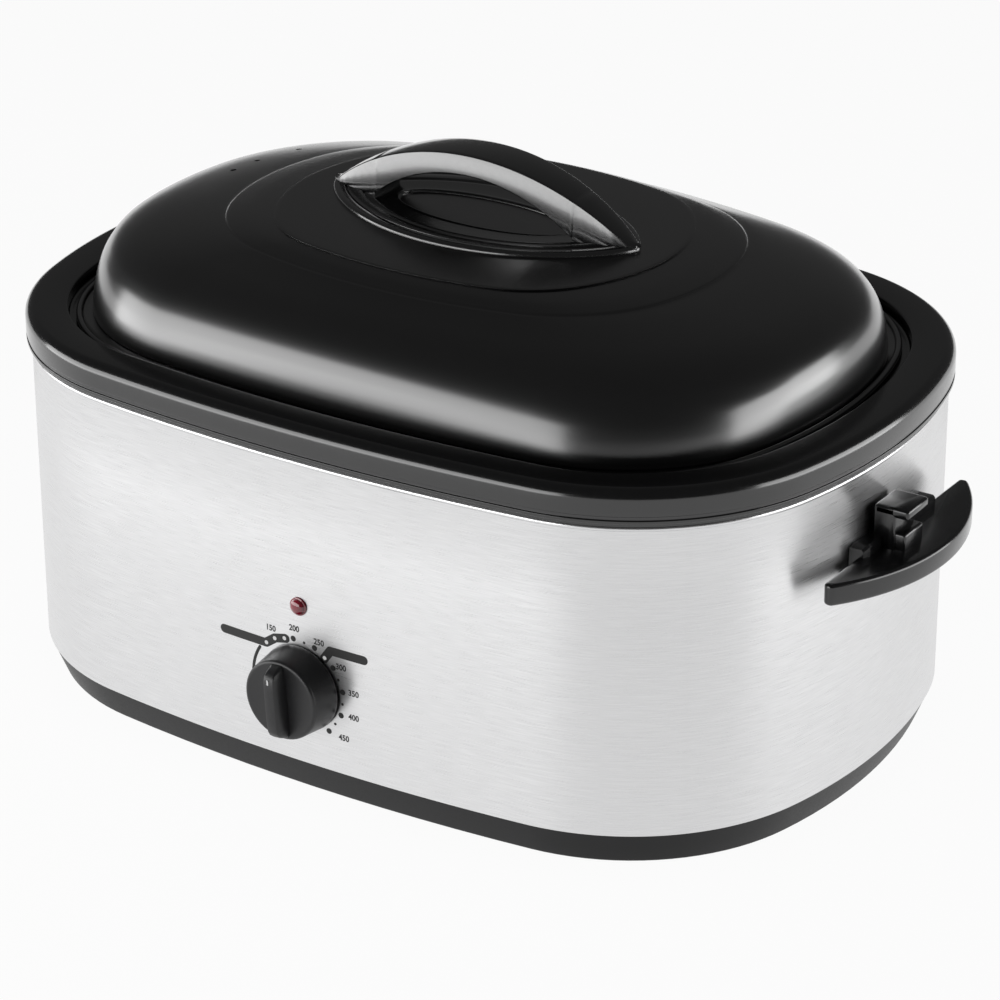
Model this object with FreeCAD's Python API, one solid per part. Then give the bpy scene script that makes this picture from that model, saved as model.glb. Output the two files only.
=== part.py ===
import FreeCAD, Part
import math
import os
from FreeCAD import Vector

# Countertop roaster oven with a lift-off lid, in millimetres.
# The floor is z = 0, the front with the control knob faces -Y, and the length runs along X.

# Plan outline of the steel wrap: a bowed rectangle of tangent arcs
body_half_length = 265.0
body_half_width = 186.5
side_arc_radius = 1208.0
end_arc_radius = 321.0
corner_arc_radius = 133.0

# Heights of the main levels
tray_height = 20.5
rim_bottom = 208.5
rim_top = 228.0
ledge_drop = 8.0
ledge_thickness = 3.0
wrap_top = 218.5

# Sheet and wall thicknesses
wrap_wall = 0.8
well_wall = 0.8
pan_wall = 1.2
lid_wall = 1.2
tray_wall = 3.0

# Clearances between pieces that fit together
slide_gap = 0.5
seat_gap = 0.3
wrap_gap = 0.35

# Rim collar
rim_overhang = 3.0
rim_shoulder = 6.0
rim_fall = 1.5
skirt_wall = 2.4
recess_end_inset = 22.5
recess_side_inset = 20.5
collar_opening_inset = 41.0
collar_rib_inset = 9.0
skirt_groove_rise = 4.2
skirt_groove_width = 1.0
skirt_groove_depth = 0.6

# Wrap hem just under the collar
hem_radius = 1.3
hem_gap = 1.6

# Back panel that closes the wrap
panel_half_width = 60.0
panel_seam = 0.3

# Base tray
tray_foot_inset = 8.5
tray_foot_width = 8.0
tray_edge_round = 3.0
tray_floor_z = 4.0
tray_spigot_height = 9.0
tray_floor = 3.0
tray_vent_count = 7
tray_vent_length = 60.0
tray_vent_width = 6.0
tray_vent_pitch = 18.0
tray_floor_top = tray_floor_z + tray_floor
pad_radius = 13.0
pad_depth = 2.2
pad_end_inset = 75.0
pad_side_inset = 78.5
pad_boss_wall = 3.0
pad_boss_height = 4.5
pad_play = 0.2
tray_screw_end_inset = 115.0
tray_screw_side_inset = 36.5
tray_screw_radius = 1.8
tray_screw_length = 4.5
tray_screw_head_radius = 4.0
tray_screw_head = 1.8

# Cooking well
well_inset = 47.0
well_floor_z = 42.0
well_flange_reach = 5.0
well_corner_round = 16.0

# Removable pan
pan_inset = 52.0
pan_floor_z = 48.0
pan_round = 22.0
pan_flange_end_inset = 28.5
pan_flange_side_inset = 22.5
bead_radius = 2.0
pan_flange_thickness = 1.6

# Wire rack inside the pan
rack_wire = 4.0
rack_height = 18.0
rack_inset = 16.0
rack_cross_count = 11
rack_end_margin = 40.0
rack_rail_half_spacing = 45.0
rack_foot_inset = 155.0
rack_handle_height = 70.0
rack_handle_half_width = 45.0
rack_handle_lean = 3.0
rack_handle_bend = 12.0

# Lid
lid_end_inset = 33.0
lid_side_inset = 31.0
vent_radius = 2.0
vent_spots = ((-184.0, 8.0), (-182.0, 29.0), (-173.0, 59.0))

# Lid levels as (drawn in at the ends, drawn in at the sides, height above the lid's lower edge)
lid_dome_levels = (
    (0.0, 0.0, 0.0), (-0.3, 0.0, 4.0), (-0.2, 0.4, 10.0), (0.3, 1.2, 17.0), (1.4, 2.6, 24.0), (3.4, 5.0, 30.5),
    (7.0, 8.6, 36.5), (12.5, 13.2, 41.5), (21.0, 18.8, 46.0), (32.5, 25.5, 49.8), (47.5, 33.0, 53.2), (64.0, 39.5, 56.2),
    (78.0, 43.5, 58.2),
)
lid_outer_step_levels = (
    (79.5, 45.2, 56.6), (79.5, 45.2, 59.1), (81.5, 46.7, 59.9), (94.0, 51.7, 62.2), (107.5, 57.2, 63.8),
)
lid_inner_step_levels = (
    (110.5, 59.2, 62.1), (110.5, 59.2, 64.6), (112.5, 60.7, 65.2), (143.0, 85.2, 65.7), (178.0, 114.0, 65.8),
)
lid_crown_height = lid_inner_step_levels[-1][2]
lid_roundness = 0.96
round_side_radius = 560.0
round_end_radius = 230.0
round_corner_radius = 150.0

# Lid handle
handle_half_length = 103.0
handle_half_width = 55.0
handle_pad_height = 7.0
handle_deck_z = 290.5
arch_rise = 37.5
arch_half_width = 16.0
arch_thickness = 12.5
dish_half_length = 57.0
dish_half_width = 22.0
dish_rib = 2.0
dish_groove = 1.5
arch_end_margin = 2.0
handle_screw_spacing = 172.0
handle_screw_radius = 2.5
handle_screw_head = 2.2
arch_foot_length = 34.0
arch_foot_sink = 2.0

# Side handles with lid rests
grip_z = 159.5
grip_thickness = 13.0
grip_half_span = 80.0
grip_reach = 35.5
grip_gap_to_wrap = 2.2
grip_tip_round = 5.0
mount_half_span = 42.0
mount_height = 26.0
mount_depth = 5.5
post_width = 24.0
post_depth = 13.0
post_height = 25.0
post_centre_y = -12.0
cap_depth = 21.0
cap_thickness = 6.0
shelf_height = 10.0
shelf_inset = 1.5
side_screw_radius = 2.5
side_screw_spacing = 56.0
side_screw_length = 12.0
side_screw_head = 2.2
screw_play = 0.3
thread_grip = 0.15

# Control group on the front
control_z = 68.0
lamp_z = 118.0
knob_radius = 25.8
knob_depth = 18.8
knob_gap = 1.2
knob_rest_turn = 4.0
knob_bore_gap = 0.02
knob_bore_depth = 13.0
knob_taper = 2.5
knob_edge_round = 1.6
bushing_gap = 0.1
bushing_play = 0.2
grip_bar_width = 11.0
grip_bar_height = 9.5
grip_bar_margin = 3.5
grip_bar_round = 4.5
pointer_width = 1.6
pointer_length = 8.0
pointer_thickness = 0.25
shaft_radius = 3.0
shaft_reach_in = 3.0
bushing_radius = 4.8
bracket_half_width = 24.0
bracket_half_height = 12.0
bracket_thickness = 1.6
thermostat_width = 34.0
thermostat_height = 30.0
thermostat_depth = 20.0
lamp_radius = 4.6
lamp_body_radius = 5.5
lamp_body_length = 18.0
lamp_flange = 0.8
lamp_nut_thickness = 2.5

# Heating band, blanket and electrical pieces
band_height = 45.0
band_z = 70.0
band_thickness = 2.0
band_gap = 0.6
blanket_thickness = 12.0
blanket_z0 = 52.0
blanket_z1 = 190.0
floor_shield_z = 32.0
post_radius = 4.0
stand_x = 120.0
stand_y = 70.0
terminal_size = (36.0, 16.0, 14.0)
terminal_x = 60.0
terminal_inset = 24.0
terminal_pit_radius = 2.6
terminal_pit_depth = 4.0
gland_z = 34.0
gland_radius = 9.0
gland_sleeve_radius = 7.2
gland_hole_radius = 7.5
gland_bore = 3.8
gland_sleeve_in = 6.0
gland_flange_out = 2.6
through = 40.0


def outline(half_length, half_width, side_r, end_r, corner_r):
    """Eight tangent arcs, anticlockwise from the +X end, as (cx, cy, radius, start, end)."""
    side_c = half_width - side_r
    end_c = half_length - end_r
    reach_side = side_r - corner_r
    reach_end = end_r - corner_r
    span = math.hypot(end_c, side_c)
    along = (reach_side ** 2 - reach_end ** 2 + span ** 2) / (2.0 * span)
    across = math.sqrt(reach_side ** 2 - along ** 2)
    ux = end_c / span
    uy = -side_c / span
    spots = []
    for sign in (1.0, -1.0):
        spots.append((ux * along - sign * uy * across, side_c + uy * along + sign * ux * across))
    cx, cy = max(spots, key=lambda p: p[0] + p[1])
    low = math.atan2(cy, cx - end_c)
    high = math.atan2(cy - side_c, cx)
    pi = math.pi
    return [
        (end_c, 0.0, end_r, -low, low),
        (cx, cy, corner_r, low, high),
        (0.0, side_c, side_r, high, pi - high),
        (-cx, cy, corner_r, pi - high, pi - low),
        (-end_c, 0.0, end_r, pi - low, pi + low),
        (-cx, -cy, corner_r, pi + low, pi + high),
        (0.0, -side_c, side_r, pi + high, 2.0 * pi - high),
        (cx, -cy, corner_r, 2.0 * pi - high, 2.0 * pi - low),
    ]


def inset_outline(end_inset, side_inset):
    """The body outline drawn in by its own inset at the ends and at the sides."""
    step = 0.5 * (end_inset + side_inset)
    return outline(
        body_half_length - end_inset,
        body_half_width - side_inset,
        side_arc_radius - step,
        end_arc_radius - step,
        corner_arc_radius - step,
    )


def body_outline():
    return inset_outline(0.0, 0.0)


def arc_point(arc, angle, offset, z):
    cx, cy, radius, start, end = arc
    return Vector(cx + (radius + offset) * math.cos(angle), cy + (radius + offset) * math.sin(angle), z)


def outline_wire(arcs, offset, z):
    edges = []
    for arc in arcs:
        start, end = arc[3], arc[4]
        first = arc_point(arc, start, offset, z)
        middle = arc_point(arc, 0.5 * (start + end), offset, z)
        last = arc_point(arc, end, offset, z)
        edges.append(Part.Arc(first, middle, last).toShape())
    return Part.Wire(edges)


def prism(arcs, offset, z0, z1):
    return Part.Face(outline_wire(arcs, offset, z0)).extrude(Vector(0, 0, z1 - z0))


def ring(arcs, outer, inner, z0, z1):
    return prism(arcs, outer, z0, z1).cut(prism(arcs, inner, z0 - 1.0, z1 + 1.0))


def rounded_edges(corners):
    """Edges of a closed section in (offset, height), each corner with its own rounding."""
    count = len(corners)
    stations = []
    for i in range(count):
        d, z, r = corners[i]
        here = Vector(d, 0, z)
        before = Vector(corners[i - 1][0], 0, corners[i - 1][1])
        after = Vector(corners[(i + 1) % count][0], 0, corners[(i + 1) % count][1])
        if r <= 0.0:
            stations.append((here, None, here))
            continue
        to_before = (before - here).normalize()
        to_after = (after - here).normalize()
        half = 0.5 * to_before.getAngle(to_after)
        cut = r / math.tan(half)
        bisector = (to_before + to_after).normalize()
        middle = here + bisector * (r / math.sin(half) - r)
        stations.append((here + to_before * cut, middle, here + to_after * cut))
    edges = []
    for i in range(count):
        first, middle, last = stations[i]
        if middle is not None:
            edges.append(Part.Arc(first, middle, last).toShape())
        following = stations[(i + 1) % count][0]
        if last.distanceToPoint(following) > 1e-6:
            edges.append(Part.LineSegment(last, following).toShape())
    return edges


def swept(arcs, corners):
    """A section carried round the outline: each arc turns it about its own upright axis."""
    solids = []
    for cx, cy, radius, start, end in arcs:
        face = Part.Face(Part.Wire(rounded_edges(corners)))
        face.translate(Vector(radius, 0, 0))
        face.rotate(Vector(0, 0, 0), Vector(0, 0, 1), math.degrees(start))
        face.translate(Vector(cx, cy, 0))
        solids.append(face.revolve(Vector(cx, cy, 0), Vector(0, 0, 1), math.degrees(end - start)))
    return solids[0].multiFuse(solids[1:]).removeSplitter()


def box(x0, y0, z0, x1, y1, z1):
    return Part.makeBox(x1 - x0, y1 - y0, z1 - z0, Vector(x0, y0, z0))


def rod(radius, start, end):
    reach = end - start
    return Part.makeCylinder(radius, reach.Length, start, reach)


def front_y(x, offset=0.0):
    """Y of the front of the body outline at x, near its middle."""
    radius = side_arc_radius + offset
    return -(body_half_width - side_arc_radius) - math.sqrt(radius ** 2 - x ** 2)


def end_x(y, offset=0.0):
    """X of the +X end of the body outline at y, near its middle."""
    radius = end_arc_radius + offset
    return body_half_length - end_arc_radius + math.sqrt(radius ** 2 - y ** 2)


def single(shape):
    solids = shape.Solids
    if len(solids) == 1:
        return solids[0]
    return max(solids, key=lambda s: s.Volume)


def mirrored_x(shape):
    return shape.mirror(Vector(0, 0, 0), Vector(1, 0, 0))


ledge_z = rim_top - ledge_drop
flange_bottom = ledge_z + seat_gap
bead_top = flange_bottom + 2.0 * bead_radius
lid_bottom = flange_bottom + pan_flange_thickness + seat_gap
lid_crown_z = lid_bottom + lid_crown_height
shaft_axis_y = front_y(0.0)
pad_x = body_half_length - pad_end_inset
pad_y = body_half_width - pad_side_inset


def make_base_tray():
    arcs = body_outline()
    lip = -wrap_wall - wrap_gap
    section = [
        (-tray_foot_inset, 0.0, tray_edge_round),
        (-0.4, tray_height, 0.0),
        (lip, tray_height, 0.0),
        (lip, tray_height + tray_spigot_height, 1.0),
        (lip - tray_wall, tray_height + tray_spigot_height, 1.0),
        (lip - tray_wall, tray_height - 2.0, 0.0),
        (-tray_foot_inset - tray_foot_width, 0.0, 0.0),
    ]
    band = swept(arcs, section)
    floor = prism(arcs, -tray_foot_inset, tray_floor_z, tray_floor_z + tray_floor)
    tray = band.fuse(floor)
    for sx in (-1, 1):
        for sy in (-1, 1):
            at = Vector(sx * pad_x, sy * pad_y, 0)
            tray = tray.fuse(Part.makeCylinder(pad_radius + pad_boss_wall, pad_boss_height, at))
            tray = tray.cut(Part.makeCylinder(pad_radius + pad_play, pad_depth + pad_play, at))
    for i in range(tray_vent_count):
        x = (i - 0.5 * (tray_vent_count - 1)) * tray_vent_pitch
        slot = box(x - 0.5 * tray_vent_width, -0.5 * tray_vent_length, 0.0,
                   x + 0.5 * tray_vent_width, 0.5 * tray_vent_length, tray_floor_top + 1.0)
        tray = tray.cut(slot)
    back = Vector(0, body_half_width - 0.5 * through, gland_z)
    return single(tray.cut(rod(gland_hole_radius, back, back + Vector(0, through, 0))).removeSplitter())


def make_foot_pads():
    pads = []
    for sx in (-1, 1):
        for sy in (-1, 1):
            pads.append(Part.makeCylinder(pad_radius, pad_depth, Vector(sx * pad_x, sy * pad_y, 0)))
    return pads


def make_wrap_ring():
    arcs = body_outline()
    hem_z = rim_bottom - hem_gap - hem_radius
    wrap = ring(arcs, 0.0, -wrap_wall, tray_height + seat_gap, wrap_top)
    hem = swept(arcs, [
        (-0.5 * wrap_wall, hem_z - hem_radius, 0.0),
        (hem_radius, hem_z - hem_radius, hem_radius * 0.95),
        (hem_radius, hem_z + hem_radius, hem_radius * 0.95),
        (-0.5 * wrap_wall, hem_z + hem_radius, 0.0),
    ])
    return wrap.fuse(hem)


def back_slice(half_width):
    return box(-half_width, 0.0, 0.0, half_width, 2.0 * body_half_width, 2.0 * rim_top)


def make_body_wrap(wrap_ring):
    wrap = wrap_ring.cut(back_slice(panel_half_width + 0.5 * panel_seam))
    front = Vector(0, shaft_axis_y - 0.5 * through, 0)
    reach = Vector(0, through, 0)
    for radius, z in ((bushing_radius + bushing_play, control_z), (lamp_radius + wrap_gap, lamp_z)):
        start = front + Vector(0, 0, z)
        wrap = wrap.cut(rod(radius, start, start + reach))
    for sx in (-1, 1):
        for sy in (-1, 1):
            at = Vector(sx * (body_half_length - 6), sy * 0.5 * side_screw_spacing, grip_z - 0.5 * grip_thickness)
            wrap = wrap.cut(rod(side_screw_radius + screw_play, at, at + Vector(sx * side_screw_length, 0, 0)))
    return single(wrap.removeSplitter())


def make_back_panel(wrap_ring):
    panel = wrap_ring.common(back_slice(panel_half_width - 0.5 * panel_seam))
    back = Vector(0, body_half_width - 0.5 * through, gland_z)
    return single(panel.cut(rod(gland_hole_radius, back, back + Vector(0, through, 0))).removeSplitter())


def make_rim_collar():
    arcs = body_outline()
    inner = -collar_opening_inset
    under_ledge = ledge_z - ledge_thickness
    roof = rim_top - ledge_thickness
    skirt_in = rim_overhang - skirt_wall
    section = [
        (rim_overhang, rim_bottom, 0.6),
        (rim_overhang, rim_top, rim_shoulder),
        (inner, rim_top - rim_fall, 0.0),
        (inner, under_ledge, 0.0),
        (-collar_rib_inset, under_ledge, 0.0),
        (-collar_rib_inset, roof - rim_shoulder, 0.0),
        (skirt_in, roof - rim_shoulder, 0.0),
        (skirt_in, rim_bottom, 0.4),
    ]
    collar = swept(arcs, section)
    low = rim_bottom + skirt_groove_rise
    high = low + skirt_groove_width
    groove = swept(arcs, [
        (rim_overhang - skirt_groove_depth, low, 0.0),
        (rim_overhang + 1.0, low, 0.0),
        (rim_overhang + 1.0, high, 0.0),
        (rim_overhang - skirt_groove_depth, high, 0.0),
    ])
    collar = collar.cut(groove)
    recess = inset_outline(recess_end_inset, recess_side_inset)
    collar = collar.cut(prism(recess, 0.0, ledge_z, rim_top + 5.0))
    return single(collar)


def well_section(inset, floor_z, wall, top_z, corner):
    """Outer and inner blocks of a deep-drawn vessel on the body outline."""
    arcs = body_outline()
    outer = prism(arcs, -inset, floor_z, top_z)
    inner = prism(arcs, -inset - wall, floor_z + wall, top_z + 1.0)
    low_outer = [e for e in outer.Edges if abs(e.BoundBox.ZMax - floor_z) < 1e-4]
    low_inner = [e for e in inner.Edges if abs(e.BoundBox.ZMax - floor_z - wall) < 1e-4]
    outer = outer.makeFillet(corner, low_outer)
    inner = inner.makeFillet(corner - wall, low_inner)
    return outer, inner


def make_cooking_well():
    top = ledge_z - ledge_thickness - seat_gap
    outer, inner = well_section(well_inset, well_floor_z, well_wall, top, well_corner_round)
    flange = ring(body_outline(), -well_inset + well_flange_reach, -well_inset - 0.2, top - well_wall, top)
    return single(outer.fuse(flange).cut(inner).removeSplitter())


def make_pan():
    outer, inner = well_section(pan_inset, pan_floor_z, pan_wall, flange_bottom + pan_flange_thickness, pan_round)
    lip = inset_outline(pan_flange_end_inset, pan_flange_side_inset)
    flange = prism(lip, -bead_radius, flange_bottom, flange_bottom + pan_flange_thickness)
    low, high = flange_bottom, flange_bottom + 2.0 * bead_radius
    bead = swept(lip, [
        (-2.0 * bead_radius, low, bead_radius * 0.3),
        (0.0, low, bead_radius * 0.9),
        (0.0, high, bead_radius * 0.9),
        (-2.0 * bead_radius, high, bead_radius * 0.9),
    ])
    return single(outer.fuse(flange).fuse(bead).cut(inner).removeSplitter())


def bent_wire(points, radius, bend):
    """A round wire along straight runs joined by tangent arcs."""
    edges = []
    last = points[0]
    for i in range(1, len(points) - 1):
        here = points[i]
        to_before = (points[i - 1] - here).normalize()
        to_after = (points[i + 1] - here).normalize()
        half = 0.5 * to_before.getAngle(to_after)
        cut = bend / math.tan(half)
        bisector = (to_before + to_after).normalize()
        first = here + to_before * cut
        middle = here + bisector * (bend / math.sin(half) - bend)
        after = here + to_after * cut
        edges.append(Part.LineSegment(last, first).toShape())
        edges.append(Part.Arc(first, middle, after).toShape())
        last = after
    edges.append(Part.LineSegment(last, points[-1]).toShape())
    path = Part.Wire(edges)
    circle = Part.Wire([Part.makeCircle(radius, points[0], points[1] - points[0])])
    return path.makePipeShell([circle], True, False)


def rack_outline():
    inset = pan_inset + pan_wall + rack_inset
    return inset, inset_outline(inset, inset), pan_floor_z + pan_wall + seat_gap + rack_height


def make_rack():
    inset, arcs, z = rack_outline()
    half = 0.5 * rack_wire
    rack = swept(arcs, [
        (-half, z - half, half * 0.9),
        (half, z - half, half * 0.9),
        (half, z + half, half * 0.9),
        (-half, z + half, half * 0.9),
    ])
    reach = body_half_length - inset - rack_end_margin
    for i in range(rack_cross_count):
        x = -reach + 2.0 * reach * i / (rack_cross_count - 1)
        frame = prism(arcs, 0.0, z - half, z + half)
        wire = rod(half * 0.8, Vector(x, -body_half_width, z), Vector(x, body_half_width, z)).common(frame)
        rack = rack.fuse(wire)
    for y in (-rack_rail_half_spacing, rack_rail_half_spacing):
        end = end_x(y, -inset)
        rack = rack.fuse(rod(half * 0.9, Vector(-end, y, z), Vector(end, y, z)))
    foot_x = body_half_length - rack_foot_inset
    for sx in (-1, 1):
        for y in (-rack_rail_half_spacing, rack_rail_half_spacing):
            at = Vector(sx * foot_x, y, z - rack_height + half * 1.4)
            rack = rack.fuse(Part.makeSphere(half * 1.3, at))
            rack = rack.fuse(rod(half * 0.9, at, Vector(at.x, at.y, z)))
    return single(rack)


def make_rack_handle(rack):
    inset, arcs, z = rack_outline()
    end = end_x(rack_handle_half_width, -inset)
    top = z + rack_handle_height
    points = [
        Vector(end, -rack_handle_half_width, z),
        Vector(end + rack_handle_lean, -rack_handle_half_width, top),
        Vector(end + rack_handle_lean, rack_handle_half_width, top),
        Vector(end, rack_handle_half_width, z),
    ]
    return single(bent_wire(points, 0.5 * rack_wire, rack_handle_bend).cut(rack))


def lid_outline(half_length, half_width, height):
    """Outline of the lid at a height above its lower edge: rounder towards the crown."""
    g = lid_roundness * min(1.0, height / lid_dome_levels[-1][2])
    k = half_length / body_half_length
    end_r = k * ((1.0 - g) * end_arc_radius + g * round_end_radius)
    side_r = k * ((1.0 - g) * side_arc_radius + g * round_side_radius)
    corner_r = k * ((1.0 - g) * corner_arc_radius + g * round_corner_radius)
    return outline(half_length, half_width, side_r, end_r, min(corner_r, half_width * 0.82))


def lid_loft(levels, shrink, ruled):
    wires = []
    for end_in, side_in, rise in levels:
        half_length = body_half_length - lid_end_inset - end_in - shrink
        half_width = body_half_width - lid_side_inset - side_in - shrink
        drop = shrink if rise > 0.0 else 0.0
        arcs = lid_outline(half_length, half_width, rise)
        wires.append(outline_wire(arcs, 0.0, lid_bottom + rise - drop))
    return Part.makeLoft(wires, True, ruled)


def lid_block(shrink):
    """The lid's solid form, drawn in all round by shrink."""
    dome = lid_loft(lid_dome_levels, shrink, False)
    outer_step = lid_loft(lid_outer_step_levels, shrink, True)
    inner_step = lid_loft(lid_inner_step_levels, shrink, True)
    return dome.fuse(outer_step).fuse(inner_step)


def lid_height_at(x, shrink):
    """Height of the lid's form over the point x on its long centre line."""
    levels = lid_dome_levels + lid_outer_step_levels[1:] + lid_inner_step_levels[1:]
    reach = body_half_length - lid_end_inset - shrink
    found = levels[-1][2]
    for low, high in zip(levels, levels[1:]):
        outside, inside = reach - low[0], reach - high[0]
        if inside <= x <= outside and outside > inside:
            share = (outside - x) / (outside - inside)
            found = low[2] + share * (high[2] - low[2])
    return lid_bottom + found - shrink


def make_lid_shell():
    arcs = lid_outline(body_half_length - lid_end_inset - lid_wall, body_half_width - lid_side_inset - lid_wall, 0.0)
    mouth = prism(arcs, 0.0, lid_bottom - 1.0, lid_bottom)
    shell = lid_block(0.0).cut(lid_block(lid_wall)).cut(mouth)
    top = lid_bottom + 20.0
    for x, y in vent_spots:
        shell = shell.cut(Part.makeCylinder(vent_radius, lid_crown_height, Vector(x, y, top)))
    for sx in (-1, 1):
        at = Vector(sx * 0.5 * handle_screw_spacing, 0, top)
        shell = shell.cut(Part.makeCylinder(handle_screw_radius + screw_play, lid_crown_height, at))
    return single(shell)


def eye_wire(half_length, half_width, z):
    top = Part.Arc(Vector(-half_length, 0, z), Vector(0, half_width, z), Vector(half_length, 0, z)).toShape()
    low = Part.Arc(Vector(half_length, 0, z), Vector(0, -half_width, z), Vector(-half_length, 0, z)).toShape()
    return Part.Wire([top, low])


def oval_face(half_length, half_width, z):
    return Part.Face(Part.Wire([Part.Ellipse(Vector(0, 0, z), half_length, half_width).toShape()]))


def arch_foot_edges(x0, x1):
    """The three straight edges under one foot of the arch, from x0 to x1."""
    low = handle_deck_z - arch_foot_sink
    corners = [Vector(x0, 0, handle_deck_z), Vector(x0, 0, low), Vector(x1, 0, low), Vector(x1, 0, handle_deck_z)]
    return [Part.LineSegment(a, b).toShape() for a, b in zip(corners, corners[1:])]


def make_lid_handle():
    foot_z = handle_deck_z - handle_pad_height
    pad = Part.Face(eye_wire(handle_half_length, handle_half_width, foot_z)).extrude(Vector(0, 0, handle_pad_height))
    under = lid_block(-seat_gap)
    chord = handle_half_length - arch_end_margin
    top_z = handle_deck_z + arch_rise
    outer = Part.Arc(Vector(-chord, 0, handle_deck_z), Vector(0, 0, top_z), Vector(chord, 0, handle_deck_z)).toShape()
    inner_half = chord - arch_foot_length
    inner_top = top_z - arch_thickness
    inner = Part.Arc(Vector(inner_half, 0, handle_deck_z), Vector(0, 0, inner_top),
                     Vector(-inner_half, 0, handle_deck_z)).toShape()
    right_foot = arch_foot_edges(chord, inner_half)
    left_foot = arch_foot_edges(-inner_half, -chord)
    band = Part.Face(Part.Wire([outer] + right_foot + [inner] + left_foot))
    band.translate(Vector(0, -2.0 * arch_half_width, 0))
    arch = band.extrude(Vector(0, 4.0 * arch_half_width, 0))
    plan = Part.Face(eye_wire(handle_half_length, arch_half_width, foot_z)).extrude(Vector(0, 0, 2.0 * arch_rise))
    arch = arch.common(plan)
    handle = pad.fuse(arch)
    groove_outer = oval_face(dish_half_length, dish_half_width, handle_deck_z - dish_groove)
    groove_inner = oval_face(dish_half_length - dish_rib, dish_half_width - dish_rib, handle_deck_z - dish_groove)
    lift = Vector(0, 0, 2.0 * dish_groove)
    groove = groove_outer.extrude(lift).cut(groove_inner.extrude(lift))
    handle = handle.cut(groove).cut(under)
    for sx in (-1, 1):
        at = Vector(sx * 0.5 * handle_screw_spacing, 0, handle_deck_z - through)
        handle = handle.cut(Part.makeCylinder(handle_screw_radius, through + 1.0, at))
    return single(handle)


def make_lid_handle_screws():
    screws = []
    head_radius = 2.0 * handle_screw_radius
    x = 0.5 * handle_screw_spacing
    under = lid_height_at(x + head_radius, lid_wall) - seat_gap
    for sx in (-1, 1):
        seat = Vector(sx * x, 0, under)
        shank = Part.makeCylinder(handle_screw_radius - thread_grip, handle_deck_z - under, seat)
        head = Part.makeCylinder(head_radius, handle_screw_head, seat - Vector(0, 0, handle_screw_head))
        screws.append(shank.fuse(head).removeSplitter())
    return screws


def crescent(z0, z1, inset=0.0):
    """Plan of a grip: straight inner edge near the body and a curved outer edge."""
    x0 = body_half_length + grip_gap_to_wrap
    span = grip_half_span - inset
    bulge = grip_reach - grip_gap_to_wrap - inset
    nose = grip_tip_round
    outer = Part.Arc(Vector(x0 + nose, -span, z0), Vector(x0 + bulge, 0, z0), Vector(x0 + nose, span, z0)).toShape()
    back = Part.LineSegment(Vector(x0 + nose, span, z0), Vector(x0, span - 1.0, z0)).toShape()
    chord = Part.LineSegment(Vector(x0, span - 1.0, z0), Vector(x0, -span + 1.0, z0)).toShape()
    front = Part.LineSegment(Vector(x0, -span + 1.0, z0), Vector(x0 + nose, -span, z0)).toShape()
    return Part.Face(Part.Wire([outer, back, chord, front])).extrude(Vector(0, 0, z1 - z0))


def make_grip():
    plate = crescent(grip_z - grip_thickness, grip_z)
    x0 = body_half_length + grip_gap_to_wrap
    y0 = post_centre_y - 0.5 * post_width
    y1 = post_centre_y + 0.5 * post_width
    post = box(x0, y0, grip_z - 1.0, x0 + post_depth, y1, grip_z + post_height)
    cap = box(x0, y0, grip_z + post_height - cap_thickness, x0 + cap_depth, y1, grip_z + post_height)
    shelf = box(x0, y0 + shelf_inset, grip_z - 1.0, x0 + cap_depth - 2.0, y1 - shelf_inset, grip_z + shelf_height)
    rest = post.fuse(cap).fuse(shelf)
    grip = plate.fuse(rest).removeSplitter()
    low = grip_z - 0.5 * grip_thickness
    arcs = body_outline()
    mount = box(body_half_length - 12.0, -mount_half_span, low - 0.5 * mount_height + 4.0,
                x0 + mount_depth, mount_half_span, low + 0.5 * mount_height)
    grip = grip.fuse(mount).cut(prism(arcs, wrap_gap, 0.0, rim_top + 20.0))
    for sy in (-1, 1):
        at = Vector(body_half_length - 10.0, sy * 0.5 * side_screw_spacing, low)
        grip = grip.cut(rod(side_screw_radius, at, at + Vector(20.0, 0, 0)))
    return single(grip.removeSplitter())


def make_side_screws():
    screws = []
    low = grip_z - 0.5 * grip_thickness
    for sy in (-1, 1):
        y = sy * 0.5 * side_screw_spacing
        start = Vector(end_x(y, -wrap_wall) - side_screw_head - 0.8, y, low)
        shank = rod(side_screw_radius - thread_grip, start, start + Vector(side_screw_length, 0, 0))
        head = rod(side_screw_radius * 1.9, start, start + Vector(side_screw_head, 0, 0))
        screws.append(shank.fuse(head).removeSplitter())
    return screws


def turned_to_rest(shape):
    turned = shape.copy()
    turned.rotate(Vector(0, 0, control_z), Vector(0, 1, 0), -knob_rest_turn)
    return turned


def make_knob():
    back = shaft_axis_y - knob_gap
    front = back - knob_depth
    centre = Vector(0, back, control_z)
    body = Part.makeCone(knob_radius, knob_radius - knob_taper, knob_depth, centre, Vector(0, -1, 0))
    rim_edges = [e for e in body.Edges if e.BoundBox.YMax - front < 1e-4]
    body = body.makeFillet(knob_edge_round, rim_edges)
    reach = knob_radius - grip_bar_margin
    bar = box(-0.5 * grip_bar_width, front - grip_bar_height, control_z - reach, 0.5 * grip_bar_width, front + 3.0, control_z + reach)
    side_edges = [e for e in bar.Edges if e.BoundBox.YMax - e.BoundBox.YMin > 5.0]
    knob = body.fuse(bar.makeFillet(grip_bar_round, side_edges))
    bore = rod(shaft_radius + knob_bore_gap, centre, centre - Vector(0, knob_bore_depth, 0))
    return turned_to_rest(single(knob.cut(bore).removeSplitter()))


def make_knob_pointer():
    top = control_z + knob_radius - 2.0 * grip_bar_margin
    front = shaft_axis_y - knob_gap - knob_depth - grip_bar_height
    half = 0.5 * pointer_width
    return turned_to_rest(box(-half, front - pointer_thickness, top - pointer_length, half, front, top))


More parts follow.
